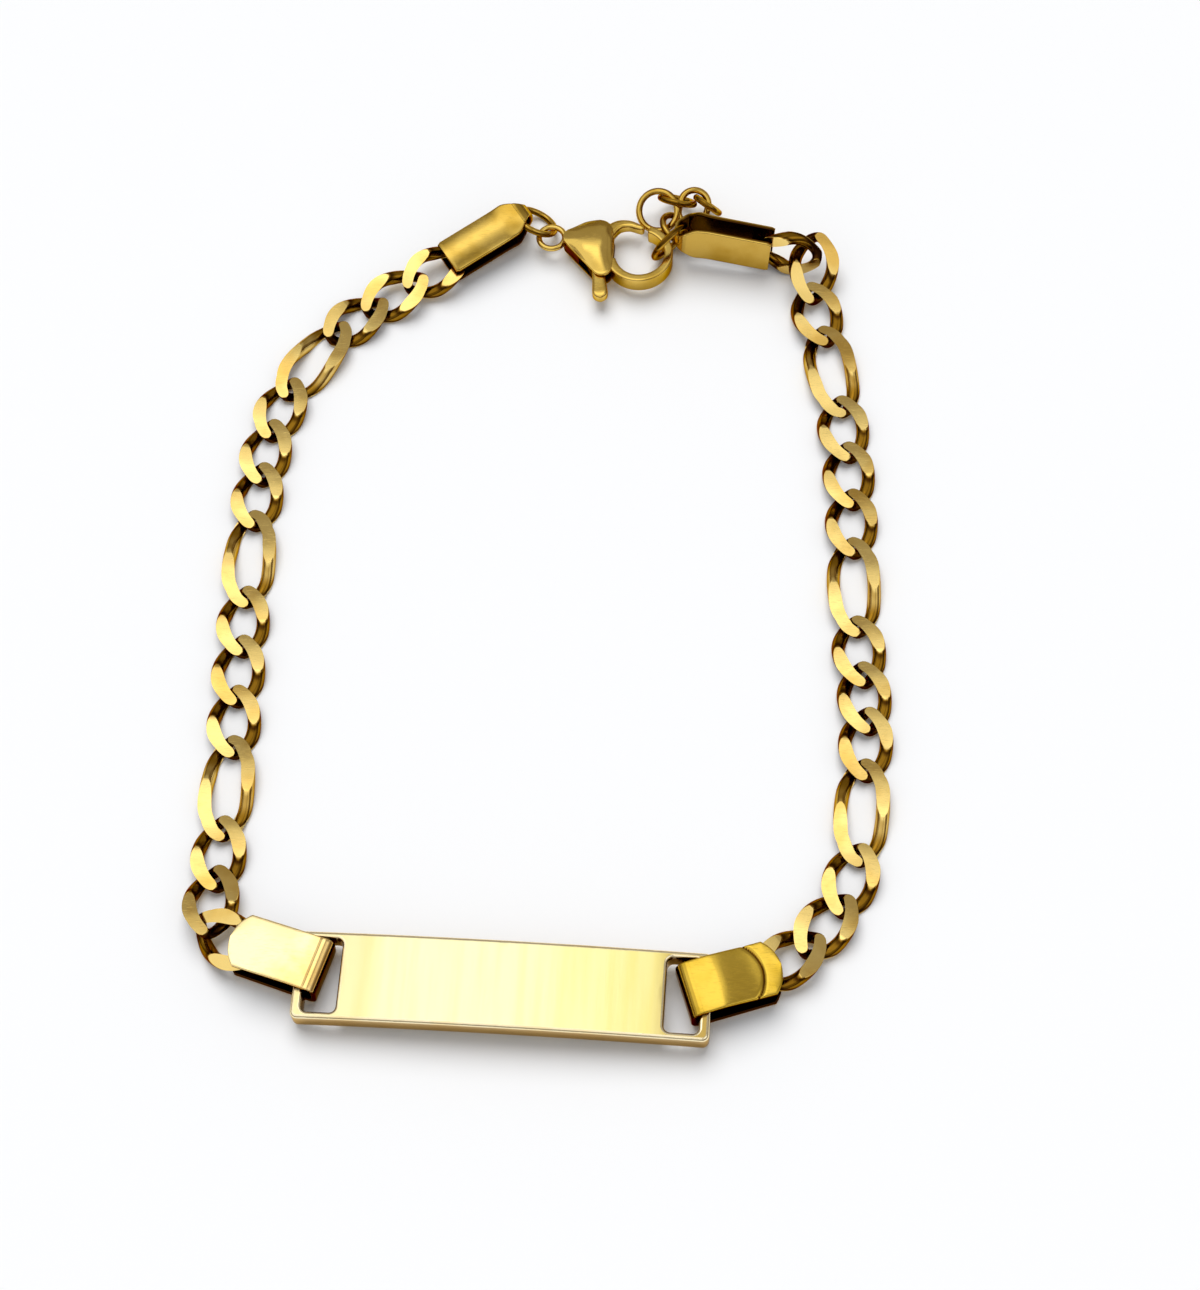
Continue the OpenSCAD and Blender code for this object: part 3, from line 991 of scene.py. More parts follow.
    def painted_shade(self, x: Array, depth: Array, drawn: float) -> Array:
        """How much painted shade darkens the metal at a place along the link and at a depth below its flats.

        The painted shade stands in for shadow and dark reflections. A flank is dark beside the flat and
        lighter below it. The sides are lighter still, most of all a long link's. Where the link hooks
        through the next the painted shade stays dark, and it turns the flats there a little brown.

        Args:
            x: place along the link.
            depth: depth below the nearer flat, as a share of the flat's height.
            drawn: how much longer the link is than a short one.

        Returns:
            The painted shade there, from 0 to 1.
        """
        clear = self.long_side_lighter if drawn else self.short_side_lighter
        clear = clear * np.exp(-((x / (self.side_reach + drawn / 2)) ** 4))
        hooked = eased((np.abs(x) - (self.along() + drawn / 2 - self.hook_reach)) / self.hook_soft)
        foot = self.foot_lighter * eased((depth - self.foot_from) / self.foot_soft) * (1 - hooked)
        flank = self.flank_painted_shade * eased(depth / self.flank_soft) - foot
        return np.maximum(flank * (1 - clear), self.flat_painted_shade * hooked)

    def skin(self, k: int, lean: Array) -> Skin:
        """Skin of link k, with its points spread anew between the rims of its flats, which keeps them crisp.

        Args:
            k: the link's number in its run.
            lean: the two slopes of the ground flats, along the link and across it.

        Returns:
            The skin, about the link's own middle.
        """
        drawn = self.extra(k)
        wire = self.sections(drawn)
        flats = GroundFlats(self.thickness / 2 - self.lower, lean, self.droop, self.along(), self.across())
        rims = [wire.rim(flats, face, side) for face in (1.0, -1.0) for side in (-1.0, 1.0)]
        rims.append(rims[0] + 2 * np.pi)
        steps = [np.linspace(0.0, 1.0, n + 1)[:-1] for n in (self.flat_steps, self.flank_steps) * 2]
        u = np.hstack([low + (high - low) * step for low, high, step in zip(rims, rims[1:], steps)])
        x, y = wire.plan(u)
        z = np.clip(wire.round_height(u), -flats.level((x, y), -1.0), flats.level((x, y), 1.0))
        depth = 1 - np.abs(z) / flats.level((x, y), np.sign(z))
        # Each point gets the painted shade of its place along the link and of its depth.
        return Skin(np.stack([x, y, z], axis=-1), rows_close=True, painted_shade=self.painted_shade(x, depth, drawn))


@dataclass(frozen=True)
class LinkRow:
    """One link of a run: its heading, how far it is pushed into the one before, and how it lies.

    Args:
        heading: the way it runs, from the X axis.
        push: how far it and the one before it are pushed into each other.
        roll: its roll about its length.
        pitch: its tilt.
        height: height of its middle.
    """

    heading: float
    push: float
    roll: float = 0.0
    pitch: float = 0.0
    height: float = 0.52


@dataclass
class FigaroRun:
    """The links between the plate and the clasp, on one side.

    Args:
        side: which side.
        start: where the first link's middle is.
        rows: a row for each link.
        last_at: where the last link's middle is, if it isn't where its row puts it.
        seed: start of the random slopes.
        lean: the largest slope of a flat.
        sharp_above: the least angle at which a link's faces meet in a crisp edge.
    """

    side: Side
    start: Pair
    rows: tuple[LinkRow, ...]
    last_at: Pair | None = None
    seed: int = 1
    lean: float = 0.035
    sharp_above: float = 14.0

    def places(self, link: FigaroLink) -> list[Array]:
        """Middle of each link: a step from the last is along both headings, as far as each link reaches.

        Args:
            link: the links' sizes.

        Returns:
            The places, from above.
        """
        found = [np.array(self.start)]
        for k in range(1, len(self.rows)):
            place = found[-1]
            for j in (k - 1, k):
                way = np.radians(self.rows[j].heading)
                place = place + link.reach(j, self.rows[k].push) * rays(way)[:2]
            found.append(place)
        if self.last_at is not None:
            found[-1] = np.array(self.last_at)
        return found

    def pose(self, link: FigaroLink, k: int) -> Pose:
        """How link k lies.

        Args:
            link: the links' sizes.
            k: the link's number.

        Returns:
            Its pose.
        """
        row = self.rows[k]
        at = self.places(link)[k]
        return Pose(at[0], at[1], row.height, row.heading, row.roll, row.pitch)

    def build(self, link: FigaroLink, gold: Material) -> None:
        """Makes the run's links, each with its flats ground at its own slight slope.

        Args:
            link: the links' sizes.
            gold: their finish.
        """
        chance = np.random.default_rng(self.seed)
        for k in range(len(self.rows)):
            lean = chance.uniform(-self.lean, self.lean, 2)
            skin = link.skin(k, lean).moved(self.pose(link, k))
            name = f"{self.side.value}_figaro_{k:02d}"
            node = f"{self.side.value}_link_{k:02d}"
            make_piece([skin], Wear(name, Slot.CHAIN, (gold,), (node,), sharp_above=self.sharp_above))


@dataclass
class NamePlate:
    """Arched oblong plate with a slot near each end, a satin face, and bevelled rims, paler as painted
    highlight, with painted shade on the walls.

    Args:
        length: length of the plate.
        width: its width.
        thickness: its thickness.
        rise: how much higher its middle is than its ends.
        lift: height of its ends' underside.
        bar: width of the bar between a slot and the plate's end.
        slot_length: the slot's size along the plate.
        slot_width: its size across the plate.
        corner: radius of the plate's corners.
        slot_corner: radius of the slots' corners.
        rim: radius of the round bevel of the plate's upper edge.
        slot_rim: the same of a slot's upper edge.
        low_rim: the same of all the lower edges.
        even_rays: even rays through half a turn, on which the plate's grid lies.
        corner_rays: rays through each round corner.
        side_rays: rays to the half plate's long side past the slot.
        middle_rays: rays to half the plate's middle line.
        face_shares: where the grid's rings lie, from the plate's rim to the slot's.
        bevel_steps: points across a bevel.
        foot_painted_shade: painted shade on the wall at its foot, at the low bevel and under it, from 0 to
            1.
        slot_painted_shade_power: the power by which painted shade darkens a slot's upper bevel.
    """

    length: float = 28.8
    width: float = 6.3
    thickness: float = 1.6
    rise: float = 0.45
    lift: float = 0.56
    bar: float = 0.75
    slot_length: float = 2.4
    slot_width: float = 5.3
    corner: float = 0.5
    slot_corner: float = 0.45
    rim: float = 0.24
    slot_rim: float = 0.22
    low_rim: float = 0.08
    even_rays: int = 49
    corner_rays: int = 9
    side_rays: int = 30
    middle_rays: int = 10
    face_shares: tuple[float, ...] = (0.0, 0.03, 0.10, 0.22, 0.36, 0.50, 0.64, 0.78, 0.90, 0.97, 1.0)
    bevel_steps: int = 6
    foot_painted_shade: Triple = (0.40, 0.60, 0.70)
    slot_painted_shade_power: int = 4

    def arch(self, x: Array) -> Array:
        """Height of the arch above the plate's ends: a circle through both ends and the raised middle."""
        radius = (self.length / 2) ** 2 / (2 * self.rise)
        return self.rise - (radius - np.sqrt(radius**2 - x**2))

    def slot_x(self) -> float:
        """Distance from the plate's middle to a slot's."""
        return self.length / 2 - self.bar - self.slot_length / 2

    def ways(self, inset: float) -> Array:
        """Angles of the rays from a slot's middle that the half plate's grid follows.

        They are spread evenly, with more through the round corners of the slot and of the plate, and they
        meet the middle line's ends exactly.

        Args:
            inset: how far the plate's outline is drawn in.

        Returns:
            The angles in radians, in order.
        """
        centre = self.slot_x()
        turn = np.radians(np.linspace(0.0, 90.0, self.corner_rays))
        half_y = self.width / 2 - inset
        slot = np.array([self.slot_length, self.slot_width]) / 2 - self.slot_corner
        plate = np.array([self.length / 2 - centre, self.width / 2]) - self.corner
        marks = [np.radians(np.linspace(0.0, 180.0, self.even_rays))]
        for (x, y), radius in ((slot, self.slot_corner), (plate, self.corner - inset)):
            marks.append(np.arctan2(y + radius * np.sin(turn), x + radius * np.cos(turn)))
        marks.append(np.pi - marks[1])
        marks.append(np.arctan2(half_y, np.linspace(-centre, 0.0, self.side_rays)))
        marks.append(np.arctan2(np.linspace(0.0, half_y, self.middle_rays), -centre))
        upper = np.unique(np.round(np.concatenate(marks), 7))
        return np.concatenate([-upper[::-1], upper[1:-1]])

    def ring(self, ways: Array, half_x: Array, half_y: float, corner: Array) -> Array:
        """Points on a rounded rectangle round the slot's middle, along each ray."""
        way = rays(ways)[:, :2]
        return way * edge_distance(way, half_x, half_y, corner)[:, None] + np.array([self.slot_x(), 0.0])

    def slot_ring(self, ways: Array, grow: float) -> Array:
        """The slot's outline, grown outwards.

        Args:
            ways: the rays' angles.
            grow: how far it is moved out.

        Returns:
            A point on each ray.
        """
        every = np.ones(len(ways))
        half_x = (self.slot_length / 2 + grow) * every
        return self.ring(ways, half_x, self.slot_width / 2 + grow, (self.slot_corner + grow) * every)

    def outer_ring(self, ways: Array, inset: float) -> Array:
        """The half plate's outline drawn in by inset, with the plate's middle line as its fourth side.

        Args:
            ways: the rays' angles.
            inset: how far it is drawn in.

        Returns:
            A point on each ray.
        """
        right = np.cos(ways) > 0
        half_x = np.where(right, self.length / 2 - inset - self.slot_x(), self.slot_x())
        corner = np.where(right, self.corner - inset, 0.0)
        return self.ring(ways, half_x, self.width / 2 - inset, corner)

    def laid(self, plan: Array, drop: float, top: bool) -> Array:
        """Points of a plan on the arched face, at drop inside it.

        Args:
            plan: the points from above.
            drop: how far inside the face they lie.
            top: whether the face is the upper one.

        Returns:
            The points in space.
        """
        base = self.lift + self.arch(plan[..., 0])
        z = base + self.thickness - drop if top else base + drop
        return np.concatenate([plan, z[..., None]], axis=-1)

    def half(self, mirror: float) -> list[Skin]:
        """Skins of one half: the face, the underside, and the slot's wall with its bevels, which get painted
        shade.

        A face's rings lie between its two outlines, and a bevel is a quarter circle.

        Args:
            mirror: 1 for the right half and -1 for the left one.

        Returns:
            The skins.
        """
        share = np.array(self.face_shares)[:, None, None]
        turn = np.radians(np.linspace(0.0, 90.0, self.bevel_steps))
        flip = np.array([mirror, 1.0, 1.0])
        ways = self.ways(self.rim)
        skins = []
        walls = []
        outer = self.outer_ring(ways, self.rim)
        for top, slot_rim in ((True, self.slot_rim), (False, self.low_rim)):
            inner = self.slot_ring(ways, slot_rim)
            face = self.laid(outer + share * (inner - outer), 0.0, top)
            skins.append(Skin(face * flip, finish=0 if top else 1))
            grow = slot_rim * (1 - np.sin(turn))
            drop = slot_rim * (1 - np.cos(turn))
            walls.append(np.stack([self.laid(self.slot_ring(ways, g), d, top) for g, d in zip(grow, drop)]))
        wall = np.concatenate([walls[0], walls[1][::-1]])
        # Painted shade in the slot: it grows down the upper bevel and is full on the wall and the lower
        # bevel.
        wall_painted_shade = np.linspace(0.0, 1.0, self.bevel_steps) ** self.slot_painted_shade_power
        wall_painted_shade = np.concatenate([wall_painted_shade, np.ones(self.bevel_steps)])[:, None]
        skins.append(Skin(wall * flip, finish=1, painted_shade=wall_painted_shade))
        return skins

    def rim_skin(self) -> Skin:
        """Skin round the plate's outside: a quarter-round bevel, the wall, and a small bevel below, with
        painted shade on the wall and below.

        Its points in plan are the face's own rim, without those on the plate's middle line, moved outwards.

        Returns:
            The skin.
        """
        ways = self.ways(self.rim)
        ring = self.outer_ring(ways, self.rim)
        near = 1e-6
        ring = ring[(ring[:, 0] > near) | (np.abs(ring[:, 1]) > self.width / 2 - self.rim - near)]
        order = np.argsort(np.arctan2(ring[:, 1], ring[:, 0] - self.slot_x()))
        right = ring[order]
        left = right[::-1][1:-1] * np.array([-1.0, 1.0])
        plan = np.concatenate([right, left])
        core = np.array([self.length / 2 - self.corner, self.width / 2 - self.corner])
        out = unit(plan - np.clip(plan, -core, core))
        rows = []
        for top, radius in ((True, self.rim), (False, self.low_rim)):
            turn = np.radians(np.linspace(0.0, 90.0, self.bevel_steps))
            turn = turn if top else turn[::-1]
            for angle in turn:
                moved = plan + out * (self.rim - radius * (1 - np.sin(angle)))
                rows.append(self.laid(moved, radius * (1 - np.cos(angle)), top))
        rows.append(self.laid(plan, 0.0, False))
        # Painted shade: none on the upper bevel, more down the wall, most on the low bevel and under it.
        foot, low, under = self.foot_painted_shade
        steps = self.bevel_steps
        wall_painted_shade = np.concatenate([np.zeros(steps - 1), [foot], np.full(steps, low), [under]])[:, None]
        return Skin(np.stack(rows), finish=1, painted_shade=wall_painted_shade)

    def build(self, satin: Material, rim: Material) -> None:
        """Makes the plate.

        Args:
            satin: finish of the face.
            rim: finish of the rims, the walls and the underside, paler for a painted highlight and darker on
                the walls for painted shade.
        """
        pose = Pose(0.0, 0.0, 0.0)
        skins = self.half(1.0) + self.half(-1.0) + [self.rim_skin()]
        wear = Wear("name_plate", Slot.PLATE, (satin, rim), ("id_plate",))
        make_piece([skin.moved(pose) for skin in skins], wear)


@dataclass
class FoldedClip:
    """Strip of sheet folded like a hairpin: an upper leaf, a fold with two round corners and a lower leaf.

    Args:
        inner: height between the leaves at the fold.
        corner: radius of the fold's two bends, along the strip's middle.
        bend: where the leaves start to come nearer to each other.
        flat: where they stop.
        top_drop: how far the upper leaf comes down.
        low_drop: how far the lower leaf comes up.
        length: length of the clip.
        half_width: half the strip's width at a distance from the fold.
        crown: how far the upper leaf is domed across, at a distance from the fold.
        relief: how far the upper leaf's face is pressed in, at a distance from the fold and from the middle.
        bend_softness: how softly the leaves bend.
        thickness: thickness of the sheet.
        edge: radius of its edges.
        narrowest: the least half width that it is given.
        step: spacing of the points along a leaf.
        tip: length at the open end where they lie closer.
        tip_steps: how many lie there.
        bend_steps: how many lie round each bend of the fold.
        lower_crown: share of the crown that the lower leaf has.
        rivet: radius of the rivet.
        rivet_back: its distance from the open end.
        swell: how far the upper leaf rises between the fold and its bend.
        swell_grows: length over which it rises, from the fold.
        swell_ends: where it starts to fall.
        swell_falls: length over which it falls.
        painted_dark: how dark the painted shade makes the outer faces, from 0 to 1.
        fold_painted_shade: how dark the painted shade makes the fold's upright face.
        inside_painted_shade: how dark the painted shade makes the inner faces.
        inside_ends: how far outwards that reaches, as a share of half the thickness.
        outside_from: the share of it from which a point is on an outer face.
        groove_painted_shade: how dark the painted shade makes the metal that is pressed in deepest.
        groove_from: how deep the lightest of that lies.
        groove_soft: how much deeper the darkest lies.
        steep_from: rise along the strip for each length of it, from which the fold counts as upright.
        steep_soft: how much more makes it wholly so.
        fold_room: how far past its bends the fold gets the painted shade.
    """

    inner: float
    corner: float
    bend: float
    flat: float
    top_drop: float
    low_drop: float
    length: float
    half_width: Callable[[Array], Array]
    crown: Callable[[Array], Array]
    relief: Callable[[Array, Array], Array]
    bend_softness: float = 0.12
    thickness: float = 0.36
    edge: float = 0.09
    narrowest: float = 0.03
    step: float = 0.04
    tip: float = 1.0
    tip_steps: int = 22
    bend_steps: int = 15
    lower_crown: float = 0.4
    rivet: float = 0.27
    rivet_back: float = 0.6
    swell: float = 0.0
    swell_grows: float = 1.7
    swell_ends: float = 2.3
    swell_falls: float = 2.8
    painted_dark: float = 0.0
    fold_painted_shade: float = 0.0
    inside_painted_shade: float = 0.95
    inside_ends: float = 0.5
    outside_from: float = 0.98
    groove_painted_shade: float = 0.9
    groove_from: float = 0.06
    groove_soft: float = 0.035
    steep_from: float = 0.75
    steep_soft: float = 0.2
    fold_room: float = 0.3

    def leaf(self, drop: float, swell: float = 0.0) -> Array:
        """Side view of a leaf from its open end to the fold.

        From the fold on it swells by up to swell, then comes nearer to the other leaf by drop.

        Args:
            drop: how far it comes down.
            swell: how far it rises first.

        Returns:
            Rows of distance from the fold and height.
        """
        half = (self.inner + self.thickness) / 2
        start = self.thickness / 2 + self.corner
        tip = self.tip * (1.0 - np.cos(np.linspace(0.0, np.pi / 2, self.tip_steps)))
        rest = np.arange(self.length - self.tip - self.step, start, -self.step)
        x = np.concatenate([self.length - tip, rest])
        soft = self.bend_softness
        fall = soft_ramp(x - self.bend, soft) - soft_ramp(x - self.flat, soft)
        share = np.clip(fall / (self.flat - self.bend), 0.0, 1.0)
        rise = eased((x - start) / self.swell_grows) * (1 - eased((x - self.swell_ends) / self.swell_falls))
        return np.stack([x, half + swell * rise - drop * share], axis=-1)

    def line(self) -> Array:
        """Side view of the whole strip, from the upper leaf's open end to the lower one's.

        Returns:
            Rows of distance from the fold and height.
        """
        half = (self.inner + self.thickness) / 2
        turn = rays(np.radians(np.linspace(90.0, 180.0, self.bend_steps)))[:, :2]
        fold = np.array([self.thickness / 2 + self.corner, half - self.corner]) + self.corner * turn
        upper = np.concatenate([self.leaf(self.top_drop, self.swell), fold])
        lower = np.concatenate([self.leaf(self.low_drop), fold]) * np.array([1.0, -1.0])
        return np.concatenate([upper, lower[::-1]])

    def strip(self) -> Skin:
        """Skin of the folded strip, with painted shade on its inner faces, where it is pressed in, and on
        its fold.

        A flat bar's outline, domed across by a parabola, is carried along the side view.

        Returns:
            The skin.
        """
        line = self.line()
        along = line[:, :1]
        on_top = line[:, 1:] > 0
        tangent = unit(np.gradient(line, axis=0))
        half = self.thickness / 2
        width = np.maximum(self.half_width(line[:, 0]), self.narrowest)
        profile = bar_profile(width, half, self.edge, across=26, arc=4)
        across = profile[..., 0]
        height = profile[..., 1].copy()
        dome = self.crown(along) * (1 - (across / width[:, None]) ** 2)
        pressed = np.where(on_top & (height > 0), self.relief(along, across), 0.0)
        profile[..., 1] += np.where(on_top, 1.0, self.lower_crown) * dome - pressed
        # Painted shade between the leaves, in the pressed-in groove, on the outer faces and on the fold's
        # upright face.
        inside = self.inside_painted_shade * eased(self.inside_ends - height / half)
        groove = self.groove_painted_shade * eased((pressed - self.groove_from) / self.groove_soft)
        outside = self.painted_dark * (height > self.outside_from * half) + groove
        steep = eased((np.abs(tangent[:, 1:]) - self.steep_from) / self.steep_soft)
        fold = self.fold_painted_shade * steep * (along < self.corner + self.fold_room)
        place = np.stack([line[:, 0], 0 * line[:, 0], line[:, 1]], axis=-1)
        up = np.stack([tangent[:, 1], 0 * tangent[:, 0], -tangent[:, 0]], axis=-1)
        grid = carry(place, steady(NORTH, len(line)), up, profile)
        return Skin(grid, capped=True, painted_shade=np.maximum(np.maximum(inside, outside), fold))

    def post(self) -> Skin:
        """Skin of the rivet between the leaves.

        Returns:
            The skin.
        """
        place = self.length - self.rivet_back
        reach = self.inner / 2
        path = np.array([[place, 0.0, -reach], [place, 0.0, reach - self.top_drop / 2]])
        grid = carry(path, steady(EAST, 2), steady(NORTH, 2), round_profile(self.rivet, steps=24))
        return Skin(grid, capped=True)

    def skins(self) -> list[Skin]:
        """Skins of the strip and of its rivet."""
        return [self.strip(), self.post()]


@dataclass
class Clips:
    """The four clips: two that hold the plate's bars and two at the clasp.

    Args:
        left_at: how the left plate clip lies.
        right_at: how the right one does.
        plate_length: length of a plate clip.
        plate_width: its width.
        plate_inner: height between its leaves at the fold.
        plate_bend: where its upper leaf starts to come down.
        plate_drop: how far it comes down.
        plate_crown: how far it is domed across.
        crown_from: where the dome starts, and over what length it grows.
        round_end: radius of its round end.
        crescent: width of the crescent at the right one's end.
        crescent_slope: how fast the crescent falls away.
        groove_depth: depth of the groove before it.
        groove_width: half the groove's width.
        seam_at: distance from the fold to the left one's seam.
        seam_depth: the seam's depth.
        seam_width: half its width.
        dent_at: place of the left one's dent.
        dent_size: how far it reaches each way.
        dent_depth: how deep it is.
        end_length: length of an end clip.
        end_width: width of its leaf.
        end_flat: where its leaves stop coming nearer.
        end_corner: radius of its fold's bends.
        neck: width of its fold.
        neck_length: length of the even part of its fold.
        flare_length: length over which it widens.
        flare_power: how early it widens.
        tip_length: length over which its open end is rounded.
        tip_narrows: how much narrower the open end is on each side.
        end_crown: where its dome starts, and over what length it grows.
        loop_inner: height between its leaves at the fold.
        link_room: height between them at the link.
        left_grip: distance from the last link's middle to the left one's open end.
        right_grip: the same of the right one.
    """

    left_at: Pose = Pose(-12.35, 0.45, 1.33, 165.0, 0.0, -4.0)
    right_at: Pose = Pose(12.46, 0.2, 1.35, 20.0)
    plate_length: float = 7.0
    plate_width: float = 3.9
    plate_inner: float = 1.98
    plate_bend: float = 2.1
    plate_drop: float = 0.45
    plate_crown: float = 0.05
    crown_from: float = 1.5
    round_end: float = 2.6
    crescent: float = 1.32
    crescent_slope: float = 0.07
    groove_depth: float = 0.11
    groove_width: float = 0.10
    seam_at: float = 0.92
    seam_depth: float = 0.035
    seam_width: float = 0.045
    dent_at: Pair = (5.1, 0.9)
    dent_size: Pair = (0.7, 1.3)
    dent_depth: float = 0.06
    end_length: float = 7.8
    end_width: float = 2.9
    end_flat: float = 2.7
    end_corner: float = 0.85
    neck: float = 1.1
    neck_length: float = 0.35
    flare_length: float = 1.7
    flare_power: float = 0.7
    tip_length: float = 0.3
    tip_narrows: float = 0.1
    end_crown: Pair = (0.6, 2.4)
    loop_inner: float = 1.9
    link_room: float = 1.3
    left_grip: float = 1.12
    right_grip: float = 1.1

    def round_half(self, x: Array) -> Array:
        """Half width of a plate clip: even, then the arc of its round end.

        Args:
            x: distance from the fold.

        Returns:
            The half width there.
        """
        past = x - (self.plate_length - self.round_end)
        arc = np.sqrt(np.maximum(self.round_end**2 - np.maximum(past, 0.0) ** 2, 0.0))
        return np.minimum(self.plate_width / 2, arc)

    def neck_half(self, x: Array) -> Array:
        """Half width of an end clip: a narrow neck at its fold, which flares into the broad leaf.

        Args:
            x: distance from the fold.

        Returns:
            The half width there.
        """
        flare = eased((x - self.neck_length) / self.flare_length) ** self.flare_power
        tip = eased((x - self.end_length + self.tip_length) / self.tip_length)
        return self.neck / 2 + (self.end_width - self.neck) / 2 * flare - self.tip_narrows * tip

    def crescent_relief(self, x: Array, y: Array) -> Array:
        """Groove along an arc near the round end, and a crescent past it that falls away.

        The distance past the arc is that to the round end's circle, moved back by the crescent's width.

        Args:
            x: distance from the fold.
            y: distance from the clip's middle line.

        Returns:
            How far the face is pressed in.
        """
        centre = self.plate_length - self.round_end - self.crescent
        past = np.hypot(x - centre, y) - self.round_end
        groove = self.groove_depth * np.exp(-((past / self.groove_width) ** 2))
        return (x > centre) * (groove - self.crescent_slope * soft_ramp(past, self.groove_width / 2))

    def seam_relief(self, x: Array, y: Array) -> Array:
        """Fine seam across the leaf near the fold, and a shallow dent near the round end.

        Args:
            x: distance from the fold.
            y: distance from the clip's middle line.

        Returns:
            How far the face is pressed in.
        """
        seam = self.seam_depth * np.exp(-(((x - self.seam_at) / self.seam_width) ** 2))
        over_x = (x - self.dent_at[0]) / self.dent_size[0]
        over_y = (y - self.dent_at[1]) / self.dent_size[1]
        return seam + self.dent_depth * np.exp(-(over_x**2)) * np.exp(-(over_y**2))

    def plate_clip(
        self, relief: Callable[[Array, Array], Array], corner: float, soft: float, swell: float
    ) -> FoldedClip:
        """Clip round a bar of the plate, with its rivet in the first link.

        Args:
            relief: what is pressed into its upper leaf.
            corner: radius of its fold's bends.
            soft: how softly its upper leaf bends.
            swell: how far that leaf rises first.

        Returns:
            The clip.
        """
        return FoldedClip(
            inner=self.plate_inner,
            corner=corner,
            bend=self.plate_bend,
            flat=self.plate_length,
            top_drop=self.plate_drop,
            low_drop=0.0,
            length=self.plate_length,
            half_width=self.round_half,
            crown=lambda x: self.plate_crown * eased((x - self.crown_from) / self.crown_from),
            relief=relief,
            bend_softness=soft,
            swell=swell,
            fold_painted_shade=0.95,
        )

    def end_clip(self, crown: float, painted_dark: float) -> FoldedClip:
        """Clip whose fold makes a loop for a ring.

        Args:
            crown: how far it is domed across.
            painted_dark: how dark the painted shade makes its outer faces.

        Returns:
            The clip.
        """
        drop = (self.loop_inner - self.link_room) / 2
        start, length = self.end_crown
        return FoldedClip(
            inner=self.loop_inner,
            corner=self.end_corner,
            bend=self.loop_inner / 2,
            flat=self.end_flat,
            top_drop=drop,
            low_drop=drop,
            length=self.end_length,
            half_width=self.neck_half,
            crown=lambda x: crown * eased((x - start) / length),
            relief=lambda x, y: 0.0 * y,
            bend_softness=0.35,
            painted_dark=painted_dark,
        )

    def on_link(self, clip: FoldedClip, grip: float) -> list[Skin]:
        """Turns an end clip round and pushes it over a run's last link.

        Args:
            clip: the clip.
            grip: distance from the link's middle to its open end.

        Returns:
            Its skins, about the link's middle.
        """
        skins = clip.skins()
        push = np.array([self.end_length + grip, 0.0, 0.0])
        return [replace(skin, points=skin.points * np.array([-1.0, -1.0, 1.0]) + push) for skin in skins]

    def lay(self, skins: Sequence[Skin], pose: Pose, name: str, node: str, gold: Material) -> None:
        """Makes one clip in its pose."""
        make_piece([skin.moved(pose) for skin in skins], Wear(name, Slot.CLIPS, (gold,), (node,)))

    def build(self, left_last: Pose, right_last: Pose, golds: Sequence[Material]) -> None:
        """Makes the four clips.

        Args:
            left_last: how the left run's last link lies.
            right_last: how the right end clip lies.
            golds: finishes of the left and right plate clips, a paler copy as painted light and a darker
                copy as painted shade, and of the end clips.
        """
        left_clip_lit, right_clip_shaded, gold = golds
        left = self.plate_clip(self.seam_relief, corner=0.50, soft=0.3, swell=0.0)
        right = self.plate_clip(self.crescent_relief, corner=0.70, soft=0.55, swell=0.09)
        # The left plate clip wears a paler copy of the gold as painted light, the right one a darker copy as
        # painted shade.
        self.lay(left.skins(), self.left_at, "left_plate_clip", "plate_clip_left", left_clip_lit)
        self.lay(right.skins(), self.right_at, "right_plate_clip", "plate_clip_right", right_clip_shaded)
        # Painted shade on the right end clip's outer faces, none on the left one's.
        left_end = self.on_link(self.end_clip(crown=0.22, painted_dark=0.0), self.left_grip)
        right_end = self.on_link(self.end_clip(crown=0.08, painted_dark=0.22), self.right_grip)
        self.lay(left_end, left_last, "left_clasp_clip", "end_clip_left", gold)
        self.lay(right_end, right_last, "right_clasp_clip", "end_clip_right", gold)


